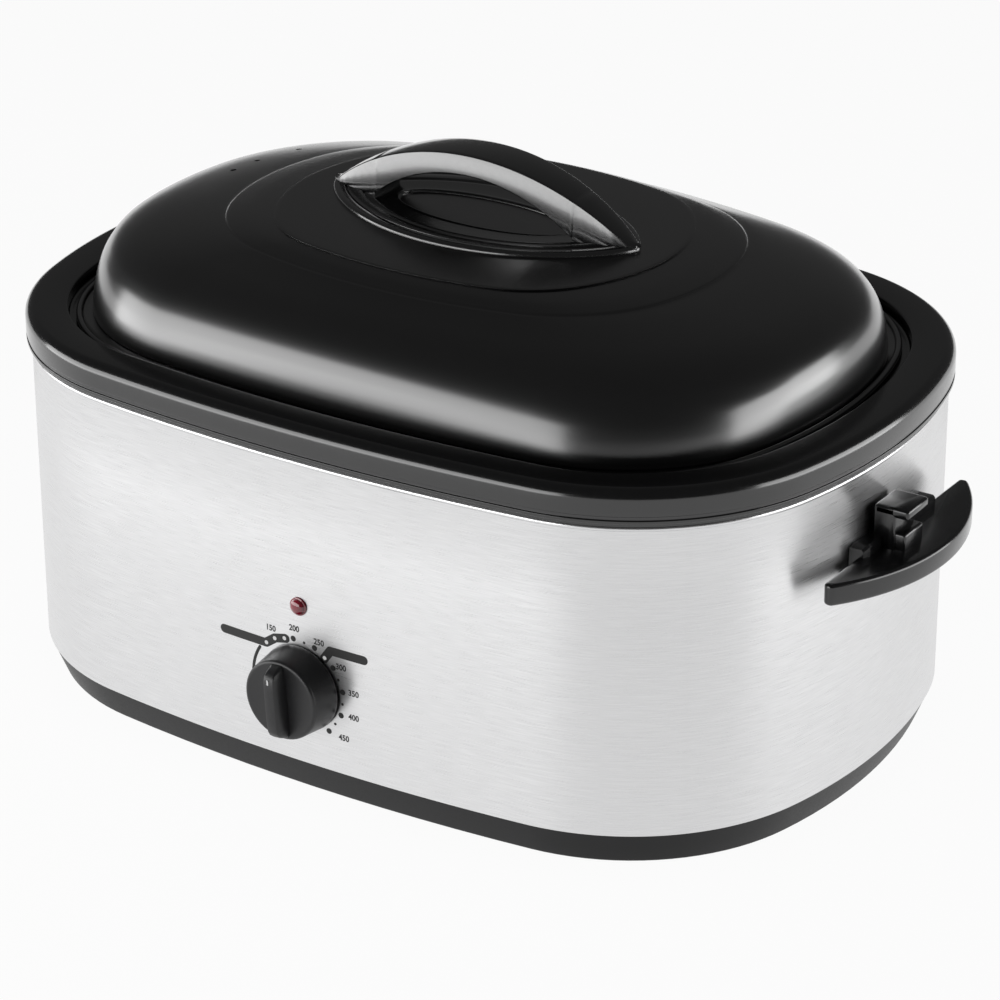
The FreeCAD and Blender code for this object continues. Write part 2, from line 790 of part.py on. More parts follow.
def make_shaft():
    start = Vector(0, shaft_axis_y - knob_gap - knob_bore_depth + seat_gap, control_z)
    end = Vector(0, shaft_axis_y + wrap_wall + shaft_reach_in, control_z)
    return rod(shaft_radius, start, end)


def make_thermostat():
    y0 = shaft_axis_y + wrap_wall + shaft_reach_in + seat_gap
    block = box(-0.5 * thermostat_width, y0, control_z - 0.5 * thermostat_height,
                0.5 * thermostat_width, y0 + thermostat_depth, control_z + 0.5 * thermostat_height)
    edges = [e for e in block.Edges if abs(e.BoundBox.YMax - e.BoundBox.YMin) > 5.0]
    return block.makeFillet(3.0, edges)


def make_thermostat_bracket():
    inside = shaft_axis_y + wrap_wall + seat_gap
    y0 = inside + 1.0
    plate = box(-bracket_half_width, y0, control_z - bracket_half_height,
                bracket_half_width, y0 + bracket_thickness, control_z + bracket_half_height)
    bushing = rod(bushing_radius, Vector(0, shaft_axis_y - 0.8, control_z), Vector(0, y0 + 0.5, control_z))
    front = Vector(0, shaft_axis_y - 0.5 * through, control_z)
    bore = rod(shaft_radius + bushing_gap, front, front + Vector(0, through, 0))
    return single(plate.fuse(bushing).cut(bore).removeSplitter())


def make_lamp_lens():
    y = shaft_axis_y - 0.2
    flange = rod(lamp_radius + 0.9, Vector(0, y - lamp_flange, lamp_z), Vector(0, y, lamp_z))
    dome = Part.makeSphere(lamp_radius * 1.12, Vector(0, y + 1.4, lamp_z))
    dome = dome.common(rod(lamp_radius, Vector(0, y - 2.0 * lamp_radius, lamp_z), Vector(0, y - 0.4, lamp_z)))
    return single(flange.fuse(dome).removeSplitter())


def make_lamp_body():
    y = shaft_axis_y
    inside = y + wrap_wall + seat_gap
    barrel = rod(lamp_radius - 0.3, Vector(0, y - 0.2, lamp_z), Vector(0, y + lamp_body_length, lamp_z))
    nut = rod(lamp_body_radius + 2.5, Vector(0, inside, lamp_z), Vector(0, inside + lamp_nut_thickness, lamp_z))
    return single(barrel.fuse(nut).removeSplitter())


def make_heating_band():
    outer = -well_inset + band_gap + band_thickness
    inner = -well_inset + band_gap
    band = ring(body_outline(), outer, inner, band_z, band_z + band_height)
    gap = box(-6.0, body_half_width - well_inset - 10.0, band_z - 1.0, 6.0, body_half_width, band_z + band_height + 1.0)
    return single(band.cut(gap))


def make_blanket():
    inner = -well_inset + band_gap + band_thickness + 0.5
    return ring(body_outline(), inner + blanket_thickness, inner, blanket_z0, blanket_z1)


def make_floor_shield():
    edge = -wrap_wall - wrap_gap - tray_wall - 1.5
    plate = prism(body_outline(), edge, floor_shield_z, floor_shield_z + 0.8)
    for x in (-stand_x, stand_x):
        for y in (-stand_y, stand_y):
            plate = plate.cut(Part.makeCylinder(post_radius + slide_gap, 4.0, Vector(x, y, floor_shield_z - 1.0)))
    back = Vector(0, body_half_width - gland_sleeve_in - 10.0, gland_z)
    return single(plate.cut(rod(gland_radius + slide_gap, back, back + Vector(0, through, 0))))


def make_well_stands():
    stands = []
    z0 = tray_floor_top + 0.05
    for x in (-stand_x, stand_x):
        for y in (-stand_y, stand_y):
            post = Part.makeCylinder(post_radius, well_floor_z - 0.05 - z0, Vector(x, y, z0))
            foot = Part.makeCylinder(post_radius * 2.2, 1.5, Vector(x, y, z0))
            stands.append(post.fuse(foot).removeSplitter())
    return stands


def terminal_spots():
    lx, ly, lz = terminal_size
    y = body_half_width - terminal_inset - 0.5 * ly
    z = tray_floor_top + 0.05 + lz - terminal_pit_depth
    return [Vector(terminal_x + (i - 1) * lx / 3.2, y, z) for i in range(3)]


def make_terminal_block():
    lx, ly, lz = terminal_size
    y1 = body_half_width - terminal_inset
    z0 = tray_floor_top + 0.05
    block = box(terminal_x - 0.5 * lx, y1 - ly, z0, terminal_x + 0.5 * lx, y1, z0 + lz)
    for spot in terminal_spots():
        block = block.cut(Part.makeCylinder(terminal_pit_radius, terminal_pit_depth + 1.0, spot))
    return single(block)


def make_terminal_screws():
    screws = []
    for spot in terminal_spots():
        head = Part.makeCylinder(terminal_pit_radius - 0.4, 2.4, spot)
        slot = box(spot.x - 3.0, spot.y - 0.4, spot.z + 1.8, spot.x + 3.0, spot.y + 0.4, spot.z + 4.0)
        screws.append(head.cut(slot))
    return screws


def make_cord_gland():
    y = body_half_width
    sleeve = rod(gland_sleeve_radius, Vector(0, y - gland_sleeve_in, gland_z), Vector(0, y + 1.5, gland_z))
    flange = rod(gland_radius + 1.0, Vector(0, y + seat_gap, gland_z), Vector(0, y + gland_flange_out, gland_z))
    back = Vector(0, y - 0.5 * through, gland_z)
    bore = rod(gland_bore, back, back + Vector(0, through, 0))
    return single(sleeve.fuse(flange).cut(bore).removeSplitter())


def make_tray_screws():
    screws = []
    x = body_half_length - tray_screw_end_inset
    y = body_half_width - tray_screw_side_inset
    for sx in (-1, 0, 1):
        for sy in (-1, 1):
            at = Vector(sx * x, sy * y, tray_floor_top + 0.02)
            shank = Part.makeCylinder(tray_screw_radius, tray_screw_length, at)
            screws.append(shank.fuse(Part.makeCylinder(tray_screw_head_radius, tray_screw_head, at)).removeSplitter())
    return screws


def export(name, shape):
    if isinstance(shape, list):
        shape = Part.makeCompound(shape)
    shape.exportStep("parts/" + name + ".step")


def main():
    os.makedirs("parts", exist_ok=True)
    grip = make_grip()
    side_screws = make_side_screws()
    rack = make_rack()
    rack_handle = make_rack_handle(rack)
    wrap_ring = make_wrap_ring()
    nodes = {
        "base_tray": make_base_tray(),
        "foot_pads": make_foot_pads(),
        "body_wrap": make_body_wrap(wrap_ring),
        "back_panel": make_back_panel(wrap_ring),
        "rim_collar": make_rim_collar(),
        "cooking_well": make_cooking_well(),
        "heating_band": make_heating_band(),
        "insulation_blanket": make_blanket(),
        "floor_shield": make_floor_shield(),
        "well_stands": make_well_stands(),
        "thermostat_body": make_thermostat(),
        "thermostat_bracket": make_thermostat_bracket(),
        "thermostat_shaft": make_shaft(),
        "control_knob": make_knob(),
        "knob_pointer": make_knob_pointer(),
        "lamp_lens": make_lamp_lens(),
        "lamp_body": make_lamp_body(),
        "terminal_block": make_terminal_block(),
        "terminal_screws": make_terminal_screws(),
        "cord_gland": make_cord_gland(),
        "side_handle_right": grip,
        "side_handle_left": mirrored_x(grip),
        "side_screws_right": side_screws,
        "side_screws_left": [mirrored_x(s) for s in side_screws],
        "tray_screws": make_tray_screws(),
        "cooking_pan": make_pan(),
        "wire_rack": rack,
        "rack_handle_right": rack_handle,
        "rack_handle_left": mirrored_x(rack_handle),
        "lid_shell": make_lid_shell(),
        "lid_handle": make_lid_handle(),
        "lid_handle_screws": make_lid_handle_screws(),
    }
    for name, shape in nodes.items():
        export(name, shape)
        solids = shape if isinstance(shape, list) else shape.Solids
        print(name, len(solids), all(s.isValid() for s in solids), round(sum(s.Volume for s in solids)))


main()
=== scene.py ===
import bpy
import bmesh
import math
from mathutils import Matrix, Vector


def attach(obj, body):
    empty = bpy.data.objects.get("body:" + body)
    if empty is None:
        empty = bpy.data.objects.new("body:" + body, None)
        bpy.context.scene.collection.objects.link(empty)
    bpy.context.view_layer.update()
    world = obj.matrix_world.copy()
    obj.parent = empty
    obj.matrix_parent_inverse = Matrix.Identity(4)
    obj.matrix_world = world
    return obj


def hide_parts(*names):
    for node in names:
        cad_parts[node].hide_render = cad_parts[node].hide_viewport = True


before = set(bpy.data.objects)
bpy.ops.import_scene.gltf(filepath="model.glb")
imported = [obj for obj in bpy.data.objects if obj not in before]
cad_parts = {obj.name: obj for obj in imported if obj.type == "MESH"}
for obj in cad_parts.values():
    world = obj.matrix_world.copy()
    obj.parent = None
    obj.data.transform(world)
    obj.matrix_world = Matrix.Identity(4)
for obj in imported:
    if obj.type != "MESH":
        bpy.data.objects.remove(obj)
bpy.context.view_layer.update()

# Lengths are in millimetres and become metres when a mesh is made.
MM = 0.001

# Plan of the steel wrap: a bowed rectangle of tangent arcs
BODY_HALF_LENGTH = 265.0
BODY_HALF_WIDTH = 186.5
SIDE_ARC = 1208.0
END_ARC = 321.0
CORNER_ARC = 133.0
SIDE_STEPS = 64
CORNER_STEPS = 40
END_STEPS = 26

# Levels
TRAY_TOP = 20.5
RIM_BOTTOM = 208.5
RIM_TOP = 228.0
LEDGE_Z = 220.0
FLANGE_BOTTOM = 220.3
LID_BOTTOM = 222.2
CONTROL_Z = 68.0
LAMP_Z = 118.0
DECK_Z = 290.5


# plan outlines

def plan_arcs(half_length, half_width, side_r, end_r, corner_r):
    """Eight tangent arcs, anticlockwise from the right end, as (cx, cy, radius, start, end, steps)."""
    side_c = half_width - side_r
    end_c = half_length - end_r
    reach_side = side_r - corner_r
    reach_end = end_r - corner_r
    span = math.hypot(end_c, side_c)
    along = (reach_side ** 2 - reach_end ** 2 + span ** 2) / (2.0 * span)
    across = math.sqrt(max(reach_side ** 2 - along ** 2, 0.0))
    ux, uy = end_c / span, -side_c / span
    spots = [(ux * along - s * uy * across, side_c + uy * along + s * ux * across) for s in (1.0, -1.0)]
    cx, cy = max(spots, key=lambda p: p[0] + p[1])
    low = math.atan2(cy, cx - end_c)
    high = math.atan2(cy - side_c, cx)
    pi = math.pi
    return [
        (end_c, 0.0, end_r, -low, low, END_STEPS),
        (cx, cy, corner_r, low, high, CORNER_STEPS),
        (0.0, side_c, side_r, high, pi - high, SIDE_STEPS),
        (-cx, cy, corner_r, pi - high, pi - low, CORNER_STEPS),
        (-end_c, 0.0, end_r, pi - low, pi + low, END_STEPS),
        (-cx, -cy, corner_r, pi + low, pi + high, CORNER_STEPS),
        (0.0, -side_c, side_r, pi + high, 2.0 * pi - high, SIDE_STEPS),
        (cx, -cy, corner_r, 2.0 * pi - high, 2.0 * pi - low, CORNER_STEPS),
    ]


def inset_arcs(end_inset, side_inset):
    step = 0.5 * (end_inset + side_inset)
    return plan_arcs(BODY_HALF_LENGTH - end_inset, BODY_HALF_WIDTH - side_inset,
                     SIDE_ARC - step, END_ARC - step, CORNER_ARC - step)


def loop_at(arcs, offset, z):
    """Points round the outline, moved outwards by offset."""
    points = []
    for cx, cy, radius, start, end, steps in arcs:
        for i in range(steps):
            a = start + (end - start) * i / steps
            points.append((cx + (radius + offset) * math.cos(a), cy + (radius + offset) * math.sin(a), z))
    return points


def rounded(corners, steps=5, closed=True):
    """Points of a section in (offset, height), each corner with its own rounding."""
    count = len(corners)
    out = []
    for i in range(count):
        d, z, r = corners[i]
        if r <= 0.0 or (not closed and i in (0, count - 1)):
            out.append((d, z))
            continue
        here = Vector((d, z))
        before = Vector(corners[i - 1][:2])
        after = Vector(corners[(i + 1) % count][:2])
        to_before = (before - here).normalized()
        to_after = (after - here).normalized()
        half = 0.5 * to_before.angle(to_after)
        cut = r / math.tan(half)
        first = here + to_before * cut
        last = here + to_after * cut
        centre = here + (to_before + to_after).normalized() * (r / math.sin(half))
        a0 = math.atan2(first.y - centre.y, first.x - centre.x)
        a1 = math.atan2(last.y - centre.y, last.x - centre.x)
        turn = (a1 - a0 + math.pi) % (2.0 * math.pi) - math.pi
        for k in range(steps + 1):
            a = a0 + turn * k / steps
            out.append((centre.x + r * math.cos(a), centre.y + r * math.sin(a)))
    return out


# mesh helpers

def add_loops(bm, loops, closed_section=False, cap_first=False, cap_last=False):
    """Joins a stack of closed loops with the same number of points into one skin."""
    rows = [[bm.verts.new((x * MM, y * MM, z * MM)) for x, y, z in loop] for loop in loops]
    count = len(rows[0])
    pairs = list(zip(rows, rows[1:]))
    if closed_section:
        pairs.append((rows[-1], rows[0]))
    for low, high in pairs:
        for i in range(count):
            j = (i + 1) % count
            bm.faces.new((low[i], low[j], high[j], high[i]))
    if cap_first:
        bm.faces.new(rows[0])
    if cap_last:
        bm.faces.new(rows[-1])
    return rows


def add_block(bm, low, high, bevel=0.0, segments=3):
    """A box with rounded edges."""
    made = bmesh.ops.create_cube(bm, size=1.0)
    size = [(h - l) * MM for l, h in zip(low, high)]
    middle = [0.5 * (h + l) * MM for l, h in zip(low, high)]
    for v in made["verts"]:
        v.co = Vector([v.co[k] * size[k] + middle[k] for k in range(3)])
    if bevel > 0.0:
        edges = list({e for v in made["verts"] for e in v.link_edges})
        bmesh.ops.bevel(bm, geom=edges, offset=bevel * MM, offset_type="OFFSET", segments=segments,
                        profile=0.5, affect="EDGES", clamp_overlap=True, material=-1)


def add_turned(bm, profile, origin, axis, steps=96):
    """A section (radius, distance along the axis) turned about an axis; end points at radius 0 close it."""
    axis = Vector(axis).normalized()
    side = axis.cross(Vector((0.0, 0.0, 1.0)))
    if side.length < 1e-6:
        side = Vector((1.0, 0.0, 0.0))
    side.normalize()
    other = axis.cross(side)
    origin = Vector(origin)
    rows = []
    for radius, along in profile:
        centre = origin + axis * along
        if radius <= 0.0:
            rows.append([bm.verts.new(centre * MM)])
            continue
        row = []
        for i in range(steps):
            a = 2.0 * math.pi * i / steps
            spot = centre + side * (radius * math.cos(a)) + other * (radius * math.sin(a))
            row.append(bm.verts.new(spot * MM))
        rows.append(row)
    for low, high in zip(rows, rows[1:]):
        for i in range(steps):
            j = (i + 1) % steps
            if len(low) == 1 and len(high) > 1:
                bm.faces.new((low[0], high[j], high[i]))
            elif len(high) == 1 and len(low) > 1:
                bm.faces.new((low[i], low[j], high[0]))
            elif len(low) > 1:
                bm.faces.new((low[i], low[j], high[j], high[i]))


def finish_piece(bm, name, body, material, nodes=(), sharp=38.0, weld=1e-6):
    """Turns a mesh under construction into a piece that rides on its body."""
    if weld:
        bmesh.ops.remove_doubles(bm, verts=bm.verts, dist=weld)
    bmesh.ops.dissolve_degenerate(bm, edges=bm.edges, dist=1e-7)
    bmesh.ops.recalc_face_normals(bm, faces=bm.faces)
    limit = math.radians(sharp)
    for face in bm.faces:
        face.smooth = True
    for edge in bm.edges:
        edge.smooth = len(edge.link_faces) == 2 and edge.calc_face_angle(0.0) < limit
    mesh = bpy.data.meshes.new(name)
    bm.to_mesh(mesh)
    bm.free()
    piece = bpy.data.objects.new(name, mesh)
    bpy.context.scene.collection.objects.link(piece)
    piece.data.materials.append(material)
    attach(piece, body)
    if nodes:
        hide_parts(*nodes)
    return piece


def from_solid(node, name, body, material, sharp=30.0):
    """The solid's own surface with its facets joined and shaded smooth."""
    bm = bmesh.new()
    bm.from_mesh(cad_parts[node].data)
    bmesh.ops.remove_doubles(bm, verts=bm.verts, dist=2e-6)
    return finish_piece(bm, name, body, material, (node,), sharp, 0.0)


# materials

def new_material(name):
    material = bpy.data.materials.new(name)
    material.use_nodes = True
    nodes = material.node_tree.nodes
    nodes.clear()
    out = nodes.new("ShaderNodeOutputMaterial")
    shader = nodes.new("ShaderNodeBsdfPrincipled")
    place = nodes.new("ShaderNodeTexCoord")
    material.node_tree.links.new(shader.outputs["BSDF"], out.inputs["Surface"])
    return material, nodes, material.node_tree.links, shader, place


def stretched_noise(nodes, links, place, scale, stretch, detail=3.0, rough=0.55):
    mapping = nodes.new("ShaderNodeMapping")
    mapping.inputs["Scale"].default_value = stretch
    noise = nodes.new("ShaderNodeTexNoise")
    noise.inputs["Scale"].default_value = scale
    noise.inputs["Detail"].default_value = detail
    noise.inputs["Roughness"].default_value = rough
    links.new(place.outputs["Object"], mapping.inputs["Vector"])
    links.new(mapping.outputs["Vector"], noise.inputs["Vector"])
    return noise


def graded(nodes, links, source, low, high):
    """The noise spread between two values."""
    spread = nodes.new("ShaderNodeMapRange")
    spread.inputs["From Min"].default_value = 0.3
    spread.inputs["From Max"].default_value = 0.7
    spread.inputs["To Min"].default_value = low
    spread.inputs["To Max"].default_value = high
    links.new(source.outputs["Fac"], spread.inputs["Value"])
    return spread


def tinted(nodes, links, source, dark, light):
    ramp = nodes.new("ShaderNodeValToRGB")
    ramp.color_ramp.elements[0].position = 0.3
    ramp.color_ramp.elements[0].color = (*dark, 1.0)
    ramp.color_ramp.elements[1].position = 0.7
    ramp.color_ramp.elements[1].color = (*light, 1.0)
    links.new(source.outputs["Fac"], ramp.inputs["Fac"])
    return ramp


def bumped(nodes, links, shader, source, strength, distance):
    bump = nodes.new("ShaderNodeBump")
    bump.inputs["Strength"].default_value = strength
    bump.inputs["Distance"].default_value = distance
    links.new(source.outputs["Fac"], bump.inputs["Height"])
    links.new(bump.outputs["Normal"], shader.inputs["Normal"])


def brushed_steel():
    material, nodes, links, shader, place = new_material("brushed_steel")
    shader.inputs["Metallic"].default_value = 1.0
    lines = stretched_noise(nodes, links, place, 1.0, (60.0, 60.0, 3200.0), 2.0, 0.5)
    ramp = tinted(nodes, links, lines, (0.66, 0.66, 0.665), (0.75, 0.75, 0.755))
    links.new(ramp.outputs["Color"], shader.inputs["Base Color"])
    spread = graded(nodes, links, lines, 0.27, 0.31)
    links.new(spread.outputs["Result"], shader.inputs["Roughness"])
    around = nodes.new("ShaderNodeTangent")
    around.direction_type = "RADIAL"
    around.axis = "Z"
    links.new(around.outputs["Tangent"], shader.inputs["Tangent"])
    shader.inputs["Anisotropic"].default_value = 0.6
    shader.inputs["Anisotropic Rotation"].default_value = 0.25
    bumped(nodes, links, shader, lines, 0.05, 0.00003)
    return material


def gloss_enamel():
    material, nodes, links, shader, place = new_material("gloss_black_enamel")
    wave = stretched_noise(nodes, links, place, 90.0, (1.0, 1.0, 1.0), 2.0, 0.5)
    ramp = tinted(nodes, links, wave, (0.0015, 0.0015, 0.0017), (0.0022, 0.0022, 0.0024))
    links.new(ramp.outputs["Color"], shader.inputs["Base Color"])
    shader.inputs["Roughness"].default_value = 0.28
    shader.inputs["Specular IOR Level"].default_value = 0.9
    shader.inputs["Coat Weight"].default_value = 1.0
    shader.inputs["Coat Roughness"].default_value = 0.20
    bumped(nodes, links, shader, wave, 0.02, 0.0002)
    return material


def moulded_black(name, dark, light, rough_low, rough_high, grain, strength, coat=0.0, shine=0.5):
    material, nodes, links, shader, place = new_material(name)
    speck = stretched_noise(nodes, links, place, grain, (1.0, 1.0, 1.0), 4.0, 0.6)
    ramp = tinted(nodes, links, speck, dark, light)
    links.new(ramp.outputs["Color"], shader.inputs["Base Color"])
    spread = graded(nodes, links, speck, rough_low, rough_high)
    links.new(spread.outputs["Result"], shader.inputs["Roughness"])
    shader.inputs["Specular IOR Level"].default_value = shine
    shader.inputs["Coat Weight"].default_value = coat
    shader.inputs["Coat Roughness"].default_value = 0.12
    bumped(nodes, links, shader, speck, strength, 0.0001)
    return material


def plain_metal(name, dark, light, rough_low, rough_high, stretch=(40.0, 40.0, 40.0)):
    material, nodes, links, shader, place = new_material(name)
    shader.inputs["Metallic"].default_value = 1.0
    grain = stretched_noise(nodes, links, place, 1.0, stretch, 3.0, 0.5)
    ramp = tinted(nodes, links, grain, dark, light)
    links.new(ramp.outputs["Color"], shader.inputs["Base Color"])
    spread = graded(nodes, links, grain, rough_low, rough_high)
    links.new(spread.outputs["Result"], shader.inputs["Roughness"])
    return material


def lens_red():
    material, nodes, links, shader, place = new_material("dark_red_lens")
    depth = stretched_noise(nodes, links, place, 160.0, (1.0, 1.0, 1.0), 2.0, 0.5)
    ramp = tinted(nodes, links, depth, (0.15, 0.003, 0.011), (0.28, 0.007, 0.026))
    links.new(ramp.outputs["Color"], shader.inputs["Base Color"])
    shader.inputs["Roughness"].default_value = 0.12
    shader.inputs["Coat Weight"].default_value = 1.0
    shader.inputs["Coat Roughness"].default_value = 0.03
    return material


def fibre():
    material, nodes, links, shader, place = new_material("glass_fibre")
    tuft = stretched_noise(nodes, links, place, 120.0, (1.0, 1.0, 3.0), 5.0, 0.7)
    ramp = tinted(nodes, links, tuft, (0.62, 0.58, 0.45), (0.85, 0.82, 0.72))
    links.new(ramp.outputs["Color"], shader.inputs["Base Color"])
    shader.inputs["Roughness"].default_value = 0.95
    bumped(nodes, links, shader, tuft, 0.6, 0.002)
    return material


def grey(level, cold=0.0):
    """A grey, with a little more blue where it is cold."""
    return level, level, level + cold


STEEL = brushed_steel()
ENAMEL = gloss_enamel()
RIM_BLACK = moulded_black(
    "rim_gloss_black", grey(0.003, 0.0003), grey(0.005, 0.0005), 0.18, 0.24, 420.0, 0.04,
    coat=0.6, shine=0.6)
HANDLE_BLACK = moulded_black(
    "lid_handle_gloss_black", grey(0.003, 0.0003), grey(0.005, 0.0005), 0.20, 0.26, 500.0, 0.04,
    coat=1.0, shine=1.0)
GRIP_BLACK = moulded_black(
    "grip_satin_black", grey(0.004, 0.0004), grey(0.007, 0.0006), 0.20, 0.26, 500.0, 0.04, coat=0.5)
KNOB_BLACK = moulded_black(
    "knob_satin_black", grey(0.010, 0.001), grey(0.014, 0.001), 0.32, 0.40, 700.0, 0.06)
BASE_BLACK = moulded_black(
    "base_matt_charcoal", grey(0.005, 0.0005), grey(0.008, 0.0005), 0.36, 0.46, 900.0, 0.08, shine=0.22)
RUBBER = moulded_black("foot_rubber", grey(0.03), grey(0.05), 0.75, 0.9, 600.0, 0.2)
HOUSING = moulded_black("dark_housing", (0.05, 0.04, 0.035), (0.08, 0.06, 0.05), 0.5, 0.6, 300.0, 0.1)
LENS = lens_red()
PRINT_BLACK = moulded_black("dial_print_black", grey(0.006), grey(0.009), 0.45, 0.55, 900.0, 0.02)
PRINT_WHITE = moulded_black("dial_print_white", grey(0.72), grey(0.80), 0.5, 0.6, 900.0, 0.02)
WELL_METAL = plain_metal(
    "drawn_aluminium", grey(0.50, 0.01), grey(0.64, 0.01), 0.38, 0.5, (30.0, 30.0, 400.0))
BAND_METAL = plain_metal("rolled_band", grey(0.40), grey(0.55), 0.4, 0.5, (20.0, 20.0, 600.0))
PLATED = plain_metal("plated_steel", grey(0.52, 0.01), grey(0.64, 0.01), 0.32, 0.42)
SCREW_METAL = plain_metal("zinc_screws", grey(0.60), grey(0.74), 0.22, 0.3, (200.0, 200.0, 200.0))
WIRE_CHROME = plain_metal("bright_wire", grey(0.70, 0.01), grey(0.82, 0.01), 0.08, 0.14, (60.0, 60.0, 60.0))
FIBRE = fibre()


# base and body

def front_y(x, offset=0.0):
    radius = SIDE_ARC + offset
    return -(BODY_HALF_WIDTH - SIDE_ARC) - math.sqrt(radius ** 2 - x ** 2)


def end_x(y, offset=0.0):
    radius = END_ARC + offset
    return BODY_HALF_LENGTH - END_ARC + math.sqrt(radius ** 2 - y ** 2)


def cut_away(bm, cutter_bm):
    """Takes the cutter's form out of a closed skin; the cutter is then removed."""
    bmesh.ops.recalc_face_normals(cutter_bm, faces=cutter_bm.faces)
    holders = []
    for name, source in (("skin_before", bm), ("cutter", cutter_bm)):
        mesh = bpy.data.meshes.new(name)
        source.to_mesh(mesh)
        source.free()
        holder = bpy.data.objects.new(name, mesh)
        bpy.context.scene.collection.objects.link(holder)
        holders.append(holder)
    skin, cutter = holders
    cut = skin.modifiers.new("hole", "BOOLEAN")
    cut.operation = "DIFFERENCE"
    cut.solver = "EXACT"
    cut.object = cutter
    bpy.context.view_layer.update()
    shaped = skin.evaluated_get(bpy.context.evaluated_depsgraph_get())
    result = bmesh.new()
    result.from_mesh(shaped.to_mesh())
    shaped.to_mesh_clear()
    for done in holders:
        spent = done.data
        bpy.data.objects.remove(done)
        bpy.data.meshes.remove(spent)
    return result


WRAP_WALL = 0.8
WRAP_TOP = 218.5
WRAP_LOW = TRAY_TOP + 0.3
HEM_Z = RIM_BOTTOM - 3.6
PANEL_HALF_WIDTH = 60.0
PANEL_SEAM = 0.3
CORD_HOLE_Z = 34.0
CORD_HOLE_RADIUS = 7.5
CORD_HOLE_LENGTH = 24.0


def build_steel_wrap():
    arcs = inset_arcs(0.0, 0.0)
    outside = [(0.0, WRAP_LOW), (0.0, 60.0), (0.0, 110.0), (0.0, 160.0), (0.0, HEM_Z - 1.9)]
    hem = [
        (0.15, -1.45), (0.7, -1.25), (1.15, -0.7), (1.3, 0.0),
        (1.15, 0.7), (0.7, 1.2), (0.15, 1.4), (0.0, 1.8),
    ]
    inside = [(0.0, WRAP_TOP)] + [(-WRAP_WALL, z) for z in (WRAP_TOP, 150.0, 90.0, WRAP_LOW)]
    section = outside + [(d, HEM_Z + rise) for d, rise in hem] + inside
    bm = bmesh.new()
    add_loops(bm, [loop_at(arcs, d, z) for d, z in section], closed_section=True)
    bmesh.ops.recalc_face_normals(bm, faces=bm.faces)
    hole = [
        (0.0, 0.0), (CORD_HOLE_RADIUS, 0.0), (CORD_HOLE_RADIUS, CORD_HOLE_LENGTH), (0.0, CORD_HOLE_LENGTH),
    ]
    start = (0.0, BODY_HALF_WIDTH - 0.5 * CORD_HOLE_LENGTH, CORD_HOLE_Z)
    cord_hole = bmesh.new()
    add_turned(cord_hole, hole, start, (0.0, 1.0, 0.0), 48)
    bm = cut_away(bm, cord_hole)
    seams = bmesh.new()
    half = 0.5 * PANEL_SEAM
    for x in (-PANEL_HALF_WIDTH, PANEL_HALF_WIDTH):
        add_block(seams, (x - half, 150.0, 0.0), (x + half, 200.0, 230.0))
    bm = cut_away(bm, seams)
    return finish_piece(bm, "steel_wrap", "base", STEEL, ("body_wrap", "back_panel"), 32.0)


RIM_OUT = 3.0
RIM_GROOVE_OUT = 2.4
RIM_LIP_BOTTOM = 206.7
RIM_LIP_OUT = 1.7
RIM_BACK = 0.4
RIM_ROOF = 219.0
LEDGE_BOTTOM = 217.0
RECESS_END_INSET = 22.5
RECESS_SIDE_INSET = 20.5


def build_rim():
    """The surround: lower lip, grooved skirt, rounded shoulder, flat top and the ledge inside."""
    body = inset_arcs(0.0, 0.0)
    recess = inset_arcs(RECESS_END_INSET, RECESS_SIDE_INSET)
    outer = [
        (RIM_BACK, RIM_ROOF, 0.0), (RIM_BACK, RIM_LIP_BOTTOM, 0.2), (RIM_LIP_OUT, RIM_LIP_BOTTOM, 0.3),
        (RIM_LIP_OUT, RIM_BOTTOM, 0.2), (RIM_OUT, RIM_BOTTOM, 0.5), (RIM_OUT, 210.4, 0.35),
        (RIM_GROOVE_OUT, 211.0, 0.25), (RIM_GROOVE_OUT, 212.6, 0.25), (RIM_OUT, 213.2, 0.35),
        (RIM_OUT, RIM_TOP, 6.0), (-12.0, RIM_TOP - 0.5, 0.0),
    ]
    inner = [
        (1.2, 227.2), (0.6, 227.1), (0.2, 226.8), (0.0, 226.3), (-0.2, 221.6), (-0.5, 220.7), (-1.2, 220.1),
        (-2.2, LEDGE_Z),
    ]
    under = [(-41.0, LEDGE_Z), (-41.0, LEDGE_BOTTOM), (-9.0, LEDGE_BOTTOM), (-9.0, RIM_ROOF)]
    loops = [loop_at(body, d, z) for d, z in rounded(outer, 6, False)]
    loops += [loop_at(recess, d, z) for d, z in inner]
    loops += [loop_at(body, d, z) for d, z in under]
    bm = bmesh.new()
    add_loops(bm, loops, closed_section=True)
    return finish_piece(bm, "rim_surround", "base", RIM_BLACK, ("rim_collar",), 40.0)


PAN_INSET = 52.0
PAN_WALL = 1.2
PAN_FLOOR = 48.0
PAN_ROUND = 22.0
PAN_ROUND_STEPS = 8
PAN_FLANGE = 1.6
PAN_MID_WALL = 140.0
LIP_END_INSET = 28.5
LIP_SIDE_INSET = 22.5
BEAD_RADIUS = 2.0


def vessel_floor(inset, z, turn_in):
    """Rings of a vessel's floor and its rounded lower corner, from the middle outwards."""
    body = inset_arcs(0.0, 0.0)
    rings = [loop_at(inset_arcs(share, share), 0.0, z) for share in (138.75, 112.5, 82.5)]
    for k in range(PAN_ROUND_STEPS + 1):
        a = 0.5 * math.pi * k / PAN_ROUND_STEPS
        offset = -inset - turn_in + turn_in * math.sin(a)
        rings.append(loop_at(body, offset, z + turn_in * (1.0 - math.cos(a))))
    return rings


